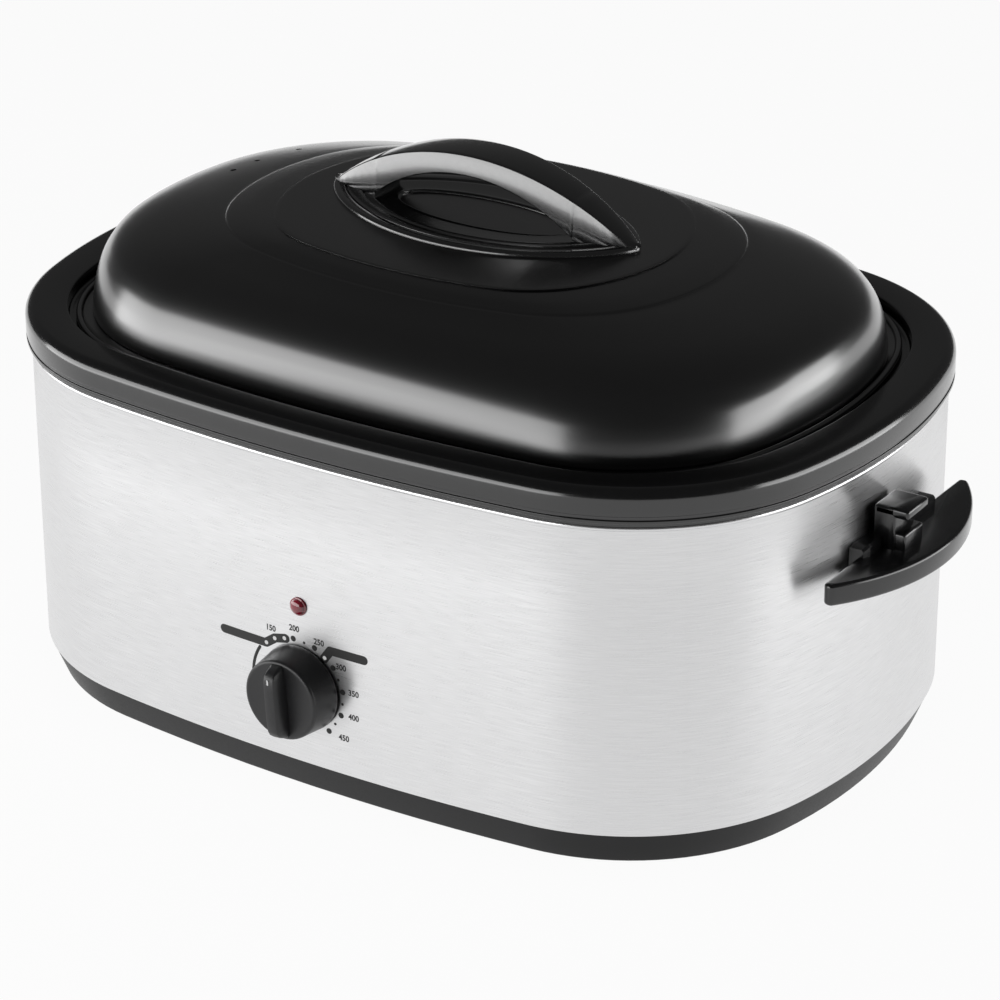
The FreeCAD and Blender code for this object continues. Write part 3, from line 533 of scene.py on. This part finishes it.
def build_pan():
    body = inset_arcs(0.0, 0.0)
    lip = inset_arcs(LIP_END_INSET, LIP_SIDE_INSET)
    flange_top = FLANGE_BOTTOM + PAN_FLANGE
    rings = vessel_floor(PAN_INSET, PAN_FLOOR, PAN_ROUND)
    rings.append(loop_at(body, -PAN_INSET, PAN_MID_WALL))
    rings.append(loop_at(body, -PAN_INSET, FLANGE_BOTTOM - 0.4))
    rings.append(loop_at(lip, -2.0 * BEAD_RADIUS, FLANGE_BOTTOM))
    rings.append(loop_at(lip, -1.5, FLANGE_BOTTOM))
    for k in range(15):
        a = -0.42 * math.pi + 1.42 * math.pi * k / 14
        z = FLANGE_BOTTOM + BEAD_RADIUS + BEAD_RADIUS * math.sin(a)
        rings.append(loop_at(lip, -BEAD_RADIUS + BEAD_RADIUS * math.cos(a), z))
    rings.append(loop_at(lip, -4.3, flange_top + 0.1))
    rings.append(loop_at(lip, -7.0, flange_top))
    rings.append(loop_at(body, -50.2, flange_top))
    rings.append(loop_at(body, -52.2, flange_top - 0.5))
    rings.append(loop_at(body, -PAN_INSET - PAN_WALL, FLANGE_BOTTOM - 0.6))
    rings.append(loop_at(body, -PAN_INSET - PAN_WALL, PAN_MID_WALL))
    rings += vessel_floor(PAN_INSET + PAN_WALL, PAN_FLOOR + PAN_WALL, PAN_ROUND - PAN_WALL)[::-1]
    bm = bmesh.new()
    add_loops(bm, rings, cap_first=True, cap_last=True)
    return finish_piece(bm, "roasting_pan", "pan", ENAMEL, ("cooking_pan",), 50.0)


# lid

LID_END_INSET = 33.0
LID_SIDE_INSET = 31.0
LID_WALL = 1.2
# Levels as (drawn in at the ends, drawn in at the sides, height above the lid's lower edge)
LID_DOME = (
    (0.0, 0.0, 0.0), (-0.3, 0.0, 4.0), (-0.2, 0.4, 10.0), (0.3, 1.2, 17.0), (1.4, 2.6, 24.0),
    (3.4, 5.0, 30.5), (7.0, 8.6, 36.5), (12.5, 13.2, 41.5), (21.0, 18.8, 46.0), (32.5, 25.5, 49.8),
    (47.5, 33.0, 53.2), (64.0, 39.5, 56.2), (78.0, 43.5, 58.2),
)
LID_STEPS = (
    (79.2, 44.8, 58.55), (79.9, 45.6, 59.2), (82.0, 47.0, 59.9), (94.0, 51.7, 62.1), (107.5, 57.2, 63.75),
    (110.0, 58.8, 64.1), (110.9, 59.5, 64.7), (113.0, 61.0, 65.2), (143.0, 85.2, 65.7), (178.0, 114.0, 65.8),
)
LID_ROUNDNESS = 0.96
ROUND_END = 230.0
ROUND_SIDE = 560.0
ROUND_CORNER = 150.0
VENT_RADIUS = 2.0
VENT_SPOTS = ((-184.0, 8.0), (-182.0, 29.0), (-173.0, 59.0))


def lid_arcs(half_length, half_width, height):
    """Outline of the lid at a height above its lower edge: rounder towards the crown."""
    g = LID_ROUNDNESS * min(1.0, height / LID_DOME[-1][2])
    k = half_length / BODY_HALF_LENGTH
    end_r = k * ((1.0 - g) * END_ARC + g * ROUND_END)
    side_r = k * ((1.0 - g) * SIDE_ARC + g * ROUND_SIDE)
    corner_r = k * ((1.0 - g) * CORNER_ARC + g * ROUND_CORNER)
    return plan_arcs(half_length, half_width, side_r, end_r, min(corner_r, half_width * 0.82))


def smooth_levels(levels, parts):
    """More levels between the given ones, along a smooth curve through them."""
    out = []
    last = len(levels) - 1
    for i in range(last):
        p0 = Vector(levels[max(i - 1, 0)])
        p1 = Vector(levels[i])
        p2 = Vector(levels[i + 1])
        p3 = Vector(levels[min(i + 2, last)])
        for k in range(parts):
            t = k / parts
            out.append(0.5 * ((2.0 * p1) + (p2 - p0) * t + (2.0 * p0 - 5.0 * p1 + 4.0 * p2 - p3) * t ** 2
                              + (3.0 * p1 - p0 - 3.0 * p2 + p3) * t ** 3))
    out.append(Vector(levels[-1]))
    return out


def lid_loops(shrink):
    loops = []
    levels = smooth_levels(LID_DOME, 5)[:-1] + smooth_levels(LID_DOME[-1:] + LID_STEPS, 4)
    for end_in, side_in, rise in levels:
        half_length = BODY_HALF_LENGTH - LID_END_INSET - end_in - shrink
        half_width = BODY_HALF_WIDTH - LID_SIDE_INSET - side_in - shrink
        drop = shrink if rise > 0.0 else 0.0
        loops.append(loop_at(lid_arcs(half_length, half_width, rise), 0.0, LID_BOTTOM + rise - drop))
    return loops


def pierce(bm, x, y, radius, top_side):
    """Opens a small round hole in the skin at (x, y) and returns its rim in order."""
    reach = 20.0 * MM
    lowest = 250.0 * MM
    spot = Vector((x * MM, y * MM))
    near = [v for v in bm.verts if abs(v.co.x - spot.x) < reach and abs(v.co.y - spot.y) < reach]
    near = [v for v in near if v.co.z > lowest and (v.normal.z > 0.0) == top_side]
    middle = min(near, key=lambda v: (v.co.x - spot.x) ** 2 + (v.co.y - spot.y) ** 2)
    rim = {v for f in middle.link_faces for v in f.verts} - {middle}
    normal = middle.normal.copy()
    height = middle.co.copy()
    bmesh.ops.delete(bm, geom=[middle], context="VERTS")
    rim = sorted(rim, key=lambda v: math.atan2(v.co.y - height.y, v.co.x - height.x))
    for i, v in enumerate(rim):
        a = -math.pi + 2.0 * math.pi * (i + 0.5) / len(rim)
        px = spot.x + radius * MM * math.cos(a)
        py = spot.y + radius * MM * math.sin(a)
        pz = height.z - (normal.x * (px - height.x) + normal.y * (py - height.y)) / normal.z
        v.co = Vector((px, py, pz))
    return rim


def build_lid():
    bm = bmesh.new()
    outer = lid_loops(0.0)
    inner = lid_loops(LID_WALL)
    half_length = BODY_HALF_LENGTH - LID_END_INSET - 0.25
    half_width = BODY_HALF_WIDTH - LID_SIDE_INSET - 0.25
    edge = [loop_at(lid_arcs(half_length, half_width, 0.0), 0.0, LID_BOTTOM + 0.02)]
    add_loops(bm, inner[::-1] + edge + outer[1:], cap_first=True, cap_last=True)
    bm.normal_update()
    bmesh.ops.recalc_face_normals(bm, faces=bm.faces)
    bm.normal_update()
    for x, y in VENT_SPOTS:
        upper = pierce(bm, x, y, VENT_RADIUS, True)
        lower = pierce(bm, x, y, VENT_RADIUS, False)
        if len(upper) == len(lower):
            for i in range(len(upper)):
                j = (i + 1) % len(upper)
                bm.faces.new((upper[i], upper[j], lower[j], lower[i]))
    return finish_piece(bm, "lid_dome", "lid", ENAMEL, ("lid_shell",), 60.0, 0.0)


def eye_loop(half_length, half_width, z, steps=56):
    """An eye shape: two shallow arcs that meet at rounded tips."""
    points = []
    for side in (-1.0, 1.0):
        for i in range(steps):
            share = -side * math.sin(math.pi * (i / steps - 0.5))
            points.append((half_length * share, side * half_width * (1.0 - share * share) ** 0.72, z))
    return points


def oval_loop(half_length, half_width, z, steps=56):
    return [(half_length * math.cos(math.pi * i / steps), half_width * math.sin(math.pi * i / steps), z)
            for i in range(-steps, steps)]


def arc_height(x, half_span, base, rise):
    """Height of a circular arch over x."""
    radius = (half_span ** 2 + rise ** 2) / (2.0 * rise)
    return base + rise - radius + math.sqrt(max(radius ** 2 - x ** 2, 0.0))


def arch_section(x, wide, low, top):
    """Cross-section of the arch at x: a crowned top, firm edges and a flat underside."""
    r = min(0.9, 0.3 * (top - low), 0.4 * wide)
    crown = min(0.8, 0.25 * (top - low))
    high = wide - min(2.4, 0.2 * (top - low), 0.2 * wide)
    section = []
    for k in range(5):
        a = math.pi + 0.5 * math.pi * k / 4
        section.append((-wide + r + r * math.cos(a), low + r + r * math.sin(a)))
    for k in range(5):
        a = 1.5 * math.pi + 0.5 * math.pi * k / 4
        section.append((wide - r + r * math.cos(a), low + r + r * math.sin(a)))
    for k in range(5):
        a = 0.42 * math.pi * k / 4
        section.append((high - r + r * math.cos(a), top - crown - r + r * math.sin(a)))
    for k in range(1, 12):
        s = 1.0 - 2.0 * k / 12.0
        section.append((s * (high - 0.8 * r), top - crown * s * s))
    for k in range(5):
        a = 0.58 * math.pi + 0.42 * math.pi * k / 4
        section.append((-high + r + r * math.cos(a), top - crown - r + r * math.sin(a)))
    return [(x, y, z) for y, z in section]


HANDLE_HALF_LENGTH = 103.0
HANDLE_HALF_WIDTH = 55.0
ARCH_OUTER_HALF = 101.0
ARCH_INNER_HALF = 67.0
ARCH_OUTER_RISE = 37.3
ARCH_INNER_RISE = 25.0
ARCH_HALF_WIDTH = 16.2
ARCH_FOOT = DECK_Z - 2.0
# The base plate as (drawn in along, drawn in across, height over the deck)
PLATE_SECTION = (
    (0.6, 0.4, -7.0), (0.0, 0.0, -6.5), (0.0, 0.0, -2.2), (0.3, 0.25, -1.1), (1.1, 0.9, -0.3),
    (2.4, 1.9, 0.0), (7.6, 5.2, 0.0), (8.0, 5.5, -0.2), (8.3, 5.8, -1.0), (9.2, 6.6, -1.0),
    (9.6, 6.9, -0.2), (10.2, 7.3, 0.0), (17.0, 11.5, 0.0), (19.0, 13.0, -0.1), (19.8, 13.7, -0.9),
    (20.6, 14.3, -0.9), (21.4, 15.0, -0.4), (26.0, 18.0, -0.6), (34.0, 24.0, -1.0),
)
# The dish in its middle as (half length, half width, height over the deck)
DISH_SECTION = (
    (60.0, 25.0, -1.2), (58.4, 23.4, -1.2), (57.8, 22.8, -0.9), (57.2, 22.2, -0.9), (56.6, 21.6, -1.3),
    (56.2, 21.2, -2.4), (55.4, 20.4, -2.8), (40.0, 12.0, -2.6),
)


def arch_stations():
    """Places along the arch, closer together near its feet."""
    foot = [-102.4, -102.0, -101.0, -98.0, -94.0, -89.0, -83.0, -77.0, -71.0]
    span = [-ARCH_INNER_HALF + 2.0 * ARCH_INNER_HALF * i / 56 for i in range(57)]
    return foot + span + [-x for x in reversed(foot)]


def build_handle():
    bm = bmesh.new()
    loops = []
    for da, db, rise in PLATE_SECTION:
        loops.append(eye_loop(HANDLE_HALF_LENGTH - da, HANDLE_HALF_WIDTH - db, DECK_Z + rise))
    loops += [oval_loop(a, b, DECK_Z + rise) for a, b, rise in DISH_SECTION]
    add_loops(bm, loops, cap_first=True, cap_last=True)
    arch = []
    for x in arch_stations():
        full = 1.0 - (x / HANDLE_HALF_LENGTH) ** 2
        top = max(arc_height(x, ARCH_OUTER_HALF, DECK_Z, ARCH_OUTER_RISE), DECK_Z + 1.5)
        wide = ARCH_HALF_WIDTH * full ** 0.42
        if abs(x) < ARCH_INNER_HALF - 0.01:
            low = arc_height(x, ARCH_INNER_HALF, DECK_Z, ARCH_INNER_RISE)
            arch.append(arch_section(x, wide, low, top))
        elif x < 0.0 and abs(x + ARCH_INNER_HALF) < 0.01:
            arch.append(arch_section(x, wide, ARCH_FOOT, top))
            arch.append(arch_section(x + 0.2, wide, DECK_Z + 1.0, top))
        elif abs(x - ARCH_INNER_HALF) < 0.01:
            arch.append(arch_section(x - 0.2, wide, DECK_Z + 1.0, top))
            arch.append(arch_section(x, wide, ARCH_FOOT, top))
        else:
            arch.append(arch_section(x, wide, ARCH_FOOT, top))
    add_loops(bm, arch, cap_first=True, cap_last=True)
    name = "lid_handle_moulding"
    return finish_piece(bm, name, "lid", HANDLE_BLACK, ("lid_handle",), 42.0, 0.0)


# side grips

GRIP_Z = 159.5
GRIP_THICK = 13.0
GRIP_HALF_SPAN = 80.0
GRIP_GAP = 2.2
GRIP_REACH = 35.5
GRIP_NOSE = 5.0
REST_Y = -12.0
REST_HALF = 12.0
MOUNT_HALF_SPAN = 42.0
MOUNT_STEPS = 24


def build_side_grip(side, name, node):
    x0 = BODY_HALF_LENGTH + GRIP_GAP
    bulge = GRIP_REACH - GRIP_GAP
    steps = 40
    span = GRIP_HALF_SPAN
    sag = bulge - GRIP_NOSE
    radius = (span ** 2 + sag ** 2) / (2.0 * sag)
    centre = x0 + bulge - radius
    half = math.asin(span / radius)
    plan = []
    for i in range(steps + 1):
        a = -half + 2.0 * half * i / steps
        plan.append((centre + radius * math.cos(a), radius * math.sin(a)))
    plan.append((x0, span - 1.0))
    plan.append((x0, -span + 1.0))
    bm = bmesh.new()
    low = [bm.verts.new((side * x * MM, y * MM, (GRIP_Z - GRIP_THICK) * MM)) for x, y in plan]
    high = [bm.verts.new((side * x * MM, y * MM, GRIP_Z * MM)) for x, y in plan]
    bm.faces.new(low)
    bm.faces.new(high)
    for i in range(len(plan)):
        j = (i + 1) % len(plan)
        bm.faces.new((low[i], low[j], high[j], high[i]))
    bmesh.ops.recalc_face_normals(bm, faces=bm.faces)
    sharp = [e for e in bm.edges if e.calc_face_angle(0.0) > math.radians(25.0)]
    bmesh.ops.bevel(bm, geom=sharp, offset=2.2 * MM, offset_type="OFFSET", segments=5, profile=0.5,
                    affect="EDGES", clamp_overlap=True, material=-1)
    y0 = REST_Y - REST_HALF
    y1 = REST_Y + REST_HALF

    def block(xa, ya, za, xb, yb, zb, bevel):
        xs = sorted((side * xa, side * xb))
        add_block(bm, (xs[0], ya, za), (xs[1], yb, zb), bevel)

    block(x0, y0, GRIP_Z - 2.0, x0 + 13.0, y1, GRIP_Z + 24.6, 1.4)
    block(x0, y0, GRIP_Z + 19.0, x0 + 21.0, y1, GRIP_Z + 25.0, 1.8)
    block(x0, y0 + 1.5, GRIP_Z - 2.0, x0 + 19.0, y1 - 1.5, GRIP_Z + 10.0, 1.6)
    mid = GRIP_Z - 0.5 * GRIP_THICK
    loops = []
    for i in range(MOUNT_STEPS + 1):
        y = -MOUNT_HALF_SPAN + 2.0 * MOUNT_HALF_SPAN * i / MOUNT_STEPS
        xin = end_x(y, 0.35)
        end_round = min(1.0, (MOUNT_HALF_SPAN - abs(y)) / 2.0)
        soft = 1.6 * (1.0 - end_round) ** 2
        lo = mid - 9.0 + soft
        hi = mid + 13.0 - soft
        xo = x0 + 5.5 - soft
        loops.append([
            (side * xin, y, lo), (side * (xo - 1.2), y, lo), (side * xo, y, lo + 1.2),
            (side * xo, y, hi - 1.2), (side * (xo - 1.2), y, hi), (side * xin, y, hi),
        ])
    add_loops(bm, loops, cap_first=True, cap_last=True)
    return finish_piece(bm, name, "base", GRIP_BLACK, (node,), 35.0, 0.0)


# dial group

WALL_Y = front_y(0.0)
KNOB_TURN = math.radians(4.0)


def turn_knob(bm):
    centre = Vector((0.0, 0.0, CONTROL_Z * MM))
    spin = Matrix.Rotation(-KNOB_TURN, 4, "Y")
    for v in bm.verts:
        v.co = spin @ (v.co - centre) + centre


KNOB_DEPTH = 18.8
KNOB_BACK = WALL_Y - 1.2
KNOB_FRONT = KNOB_BACK - KNOB_DEPTH + 0.4
KNOB_PROFILE = (
    (0.0, 0.0), (25.2, 0.0), (25.7, 0.15), (25.8, 0.6), (25.5, 3.0), (24.9, 8.0), (24.3, 13.0),
    (23.95, 16.6), (23.75, 17.6), (23.2, 18.3), (22.4, 18.65), (21.6, 18.7), (20.8, 18.5), (0.0, 18.5),
)
BAR_TALL = 9.3
BAR_REACH = 22.0
BAR_TOP_HALF = 3.3
BAR_LOW_HALF = 4.9
BAR_STATIONS = (-1.0, -0.985, -0.95, -0.9, -0.82, -0.7, -0.4, 0.0, 0.4, 0.7, 0.82, 0.9, 0.95, 0.985, 1.0)


def bar_section(share):
    """Cross-section of the knob's bar at a share of its reach."""
    z = CONTROL_Z + BAR_REACH * share
    tall = BAR_TALL * (1.0 - abs(share) ** 9) + 0.5
    top_half = BAR_TOP_HALF * (1.0 - 0.25 * abs(share) ** 8)
    low_half = BAR_LOW_HALF * (1.0 - 0.25 * abs(share) ** 8)
    edge = min(0.9, 0.3 * tall)
    right = [
        (top_half - 0.9, KNOB_FRONT - tall), (top_half - 0.15, KNOB_FRONT - tall + 0.25 * edge),
        (top_half + 0.25, KNOB_FRONT - tall + edge), (low_half - 0.4, KNOB_FRONT - 0.5 * tall),
        (low_half, KNOB_FRONT), (low_half, KNOB_FRONT + 2.0),
    ]
    return [(-x, y, z) for x, y in reversed(right)] + [(x, y, z) for x, y in right]


def build_knob():
    bm = bmesh.new()
    add_turned(bm, KNOB_PROFILE, (0.0, KNOB_BACK, CONTROL_Z), (0.0, -1.0, 0.0), 128)
    add_loops(bm, [bar_section(share) for share in BAR_STATIONS], cap_first=True, cap_last=True)
    turn_knob(bm)
    name = "knob_moulding"
    return finish_piece(bm, name, "knob", KNOB_BLACK, ("control_knob",), 32.0, 0.0)


def build_knob_mark():
    front = KNOB_FRONT - BAR_TALL - 0.5
    bm = bmesh.new()
    add_block(bm, (-0.5, front - 0.1, CONTROL_Z + 13.5), (0.5, front + 0.3, CONTROL_Z + 16.5), 0.05, 2)
    turn_knob(bm)
    return finish_piece(bm, "knob_mark", "knob", PRINT_WHITE, ("knob_pointer",), 35.0)


LENS_RADIUS = 4.5
LENS_COLLAR = 1.3
LENS_DOME = 2.3


def build_lamp():
    bm = bmesh.new()
    profile = [(0.0, 0.0), (5.5, 0.0), (5.5, 0.5), (5.3, 0.8), (4.7, 0.95), (LENS_RADIUS, LENS_COLLAR)]
    for k in range(1, 10):
        a = 0.5 * math.pi * k / 10
        profile.append((LENS_RADIUS * math.cos(a), LENS_COLLAR + LENS_DOME * math.sin(a)))
    profile.append((0.0, LENS_COLLAR + LENS_DOME))
    add_turned(bm, profile, (0.0, WALL_Y - 0.2, LAMP_Z), (0.0, -1.0, 0.0), 64)
    return finish_piece(bm, "signal_lens", "base", LENS, ("lamp_lens",), 40.0)


# dial print

PRINT_LIFT = 0.06
DIAL_X = -0.8
DIAL_Z = 67.6
BIG_DOT_RING = 29.4
SMALL_DOT_RING = 28.8
HEAT_ARC_RING = 32.2
WORD_SIZE = 5.0
FLAG_HALF = 2.7
DIAL_WORDS = (
    ("150", -19.8, 99.0), ("200", -3.6, 103.2), ("250", 13.0, 99.0), ("300", 27.4, 87.4),
    ("350", 35.4, 73.2), ("400", 35.2, 58.2), ("450", 28.4, 43.6),
)


def on_front(x, z, lift=PRINT_LIFT):
    return Vector((x * MM, front_y(x, lift) * MM, z * MM))


def add_disc(bm, x, z, radius, lift=PRINT_LIFT, steps=28):
    ring = []
    for i in range(steps):
        a = 2.0 * math.pi * i / steps
        ring.append(bm.verts.new(on_front(x + radius * math.cos(a), z + radius * math.sin(a), lift)))
    bm.faces.new(ring)


def add_stroke(bm, points, half, lift=PRINT_LIFT):
    """A flat band with round ends along a line of points."""
    for (x0, z0), (x1, z1) in zip(points, points[1:]):
        length = math.hypot(x1 - x0, z1 - z0)
        nx = -(z1 - z0) / length * half
        nz = (x1 - x0) / length * half
        parts = max(1, int(length / 6.0))
        for k in range(parts):
            s, t = k / parts, (k + 1) / parts
            a = (x0 + (x1 - x0) * s, z0 + (z1 - z0) * s)
            b = (x0 + (x1 - x0) * t, z0 + (z1 - z0) * t)
            corners = (
                (a[0] + nx, a[1] + nz), (a[0] - nx, a[1] - nz),
                (b[0] - nx, b[1] - nz), (b[0] + nx, b[1] + nz),
            )
            bm.faces.new([bm.verts.new(on_front(px, pz, lift)) for px, pz in corners])
    for x, z in points:
        add_disc(bm, x, z, half, lift, 24)


def add_text(bm, words, x, z, size, tilt=0.0):
    curve = bpy.data.curves.new("print_text", "FONT")
    curve.body = words
    curve.size = size
    curve.align_x = "CENTER"
    curve.align_y = "CENTER"
    curve.resolution_u = 4
    curve.offset = 0.028 * size
    holder = bpy.data.objects.new("print_text", curve)
    bpy.context.scene.collection.objects.link(holder)
    bpy.context.view_layer.update()
    shaped = holder.evaluated_get(bpy.context.evaluated_depsgraph_get())
    letters = bmesh.new()
    letters.from_mesh(shaped.to_mesh())
    shaped.to_mesh_clear()
    spots = {}
    c, s = math.cos(tilt), math.sin(tilt)
    for v in letters.verts:
        u, w = v.co.x * 0.92, v.co.y
        spots[v.index] = bm.verts.new(on_front(x + c * u - s * w, z + s * u + c * w))
    for f in letters.faces:
        bm.faces.new([spots[v.index] for v in f.verts])
    letters.free()
    bpy.data.objects.remove(holder)
    bpy.data.curves.remove(curve)


def dial_spot(angle, radius):
    a = math.radians(angle)
    return DIAL_X + radius * math.sin(a), DIAL_Z + radius * math.cos(a)


def flat_piece(bm, name, material):
    for face in bm.faces:
        face.normal_update()
        if face.normal.y > 0.0:
            face.normal_flip()
    mesh = bpy.data.meshes.new(name)
    bm.to_mesh(mesh)
    bm.free()
    piece = bpy.data.objects.new(name, mesh)
    bpy.context.scene.collection.objects.link(piece)
    piece.data.materials.append(material)
    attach(piece, "base")
    return piece


def build_dial_print():
    bm = bmesh.new()
    for angle in (-7.0, 21.5, 51.5, 80.5, 110.0, 139.0):
        x, z = dial_spot(angle, BIG_DOT_RING)
        add_disc(bm, x, z, 1.75)
    for angle in (7.5, 66.0, 95.5, 125.0):
        x, z = dial_spot(angle, SMALL_DOT_RING)
        add_disc(bm, x, z, 0.85)
    for words, x, z in DIAL_WORDS:
        add_text(bm, words, x, z, WORD_SIZE)
    add_stroke(bm, [dial_spot(-57.0 - 3.0 * k, HEAT_ARC_RING) for k in range(11)], 0.95)
    left = [(-53.0, 89.2), (-23.4, 89.0), (-17.0, 93.6), (-9.6, 95.4)]
    add_stroke(bm, left, FLAG_HALF)
    right = [(16.4, 90.2), (20.6, 96.0), (42.5, 96.0)]
    add_stroke(bm, right, FLAG_HALF)
    flat_piece(bm, "dial_scale", PRINT_BLACK)
    dots = bmesh.new()
    for x, z in ((-23.1, 89.2), (-17.2, 93.4), (-10.5, 95.3), (16.7, 90.6)):
        add_disc(dots, x, z, 1.25, PRINT_LIFT + 0.05)
    flat_piece(dots, "dial_pips", PRINT_WHITE)


# the rest of the solids

def build_from_solids():
    for node, name, body, slot, material, sharp in (
        ("base_tray", "base_moulding", "base", "tray_plastic", BASE_BLACK, 34.0),
        ("cord_gland", "cord_entry", "base", "tray_plastic", BASE_BLACK, 34.0),
        ("cooking_well", "heated_well", "base", "bare_aluminium", WELL_METAL, 40.0),
        ("wire_rack", "roasting_rack", "rack", "rack_chrome", WIRE_CHROME, 45.0),
        ("rack_handle_right", "rack_lifter_right", "rack", "rack_chrome", WIRE_CHROME, 45.0),
        ("rack_handle_left", "rack_lifter_left", "rack", "rack_chrome", WIRE_CHROME, 45.0),
        ("foot_pads", "rubber_feet", "base", "foot_rubber", RUBBER, 34.0),
    ):
        from_solid(node, name, body, material, sharp)


def dress_shown_solids():
    """Every solid that still shows gets its own finish."""
    finishes = {
        "heating_band": BAND_METAL, "insulation_blanket": FIBRE, "floor_shield": PLATED,
        "well_stands": PLATED, "thermostat_body": HOUSING, "thermostat_bracket": PLATED,
        "thermostat_shaft": PLATED, "lamp_body": HOUSING, "terminal_block": HOUSING,
        "terminal_screws": SCREW_METAL, "side_screws_right": SCREW_METAL, "side_screws_left": SCREW_METAL,
        "tray_screws": SCREW_METAL, "lid_handle_screws": SCREW_METAL,
    }
    for node, material in finishes.items():
        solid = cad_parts[node]
        solid.data.materials.clear()
        solid.data.materials.append(material)


build_steel_wrap()
build_rim()
build_pan()
build_lid()
build_handle()
build_side_grip(1.0, "side_grip_right", "side_handle_right")
build_side_grip(-1.0, "side_grip_left", "side_handle_left")
build_knob()
build_knob_mark()
build_lamp()
build_dial_print()
build_from_solids()
dress_shown_solids()


# floor, light and camera

def build_floor():
    bm = bmesh.new()
    bmesh.ops.create_grid(bm, x_segments=1, y_segments=1, size=12.0)
    mesh = bpy.data.meshes.new("floor")
    bm.to_mesh(mesh)
    bm.free()
    floor = bpy.data.objects.new("floor", mesh)
    bpy.context.scene.collection.objects.link(floor)
    floor.location.z = -0.0004
    material, nodes, links, shader = new_material("pale_floor")[:4]
    shader.inputs["Base Color"].default_value = (0.93, 0.93, 0.93, 1.0)
    shader.inputs["Roughness"].default_value = 0.9
    shader.inputs["Specular IOR Level"].default_value = 0.0
    white = nodes.new("ShaderNodeEmission")
    white.inputs["Color"].default_value = (1.0, 1.0, 1.0, 1.0)
    white.inputs["Strength"].default_value = 1.0
    path = nodes.new("ShaderNodeLightPath")
    seen = nodes.new("ShaderNodeMath")
    seen.operation = "MAXIMUM"
    links.new(path.outputs["Is Camera Ray"], seen.inputs[0])
    links.new(path.outputs["Is Glossy Ray"], seen.inputs[1])
    also = nodes.new("ShaderNodeMath")
    also.operation = "MAXIMUM"
    links.new(seen.outputs["Value"], also.inputs[0])
    links.new(path.outputs["Is Transmission Ray"], also.inputs[1])
    share = nodes.new("ShaderNodeMath")
    share.operation = "MULTIPLY"
    share.inputs[1].default_value = 0.95
    links.new(also.outputs["Value"], share.inputs[0])
    mix = nodes.new("ShaderNodeMixShader")
    links.new(share.outputs["Value"], mix.inputs["Fac"])
    links.new(shader.outputs["BSDF"], mix.inputs[1])
    links.new(white.outputs["Emission"], mix.inputs[2])
    out = next(node for node in nodes if node.type == "OUTPUT_MATERIAL")
    links.new(mix.outputs["Shader"], out.inputs["Surface"])
    floor.data.materials.append(material)


def add_softbox(name, place, aim, width, height, power):
    light = bpy.data.lights.new(name, "AREA")
    light.shape = "RECTANGLE"
    light.size = width
    light.size_y = height
    light.energy = power
    holder = bpy.data.objects.new(name, light)
    bpy.context.scene.collection.objects.link(holder)
    holder.location = place
    holder.rotation_euler = (Vector(aim) - Vector(place)).to_track_quat("-Z", "Y").to_euler()


def build_world():
    world = bpy.data.worlds.new("studio")
    bpy.context.scene.world = world
    world.use_nodes = True
    room = world.node_tree.nodes["Background"]
    room.inputs["Color"].default_value = (1.0, 1.0, 1.0, 1.0)
    room.inputs["Strength"].default_value = 0.07


CAMERA_DISTANCE = 2.23374


def build_camera():
    azimuth = math.radians(33.29)
    elevation = math.radians(25.17)
    roll = math.radians(-0.18)
    level = math.cos(elevation)
    back = Vector((math.sin(azimuth) * level, -math.cos(azimuth) * level, math.sin(elevation)))
    target = Vector((9.83, 0.32, 111.2)) * MM
    camera = bpy.data.cameras.new("photo_camera")
    camera.sensor_width = 36.0
    camera.lens = 137.25
    camera.clip_start = 0.05
    camera.clip_end = 60.0
    holder = bpy.data.objects.new("photo_camera", camera)
    bpy.context.scene.collection.objects.link(holder)
    aim = back.to_track_quat("Z", "Y").to_matrix().to_4x4()
    place = Matrix.Translation(target + back * CAMERA_DISTANCE)
    holder.matrix_world = place @ aim @ Matrix.Rotation(roll, 4, "Z")
    bpy.context.scene.camera = holder


build_floor()
build_world()
build_camera()
add_softbox("front_left_softbox", (-0.62, -0.86, 0.28), (0.0, 0.0, 0.24), 2.0, 0.5, 11.0)
add_softbox("right_softbox", (1.12, 0.42, 0.28), (0.0, 0.0, 0.24), 1.15, 0.5, 7.0)

scene = bpy.context.scene
scene.view_settings.view_transform = "Standard"
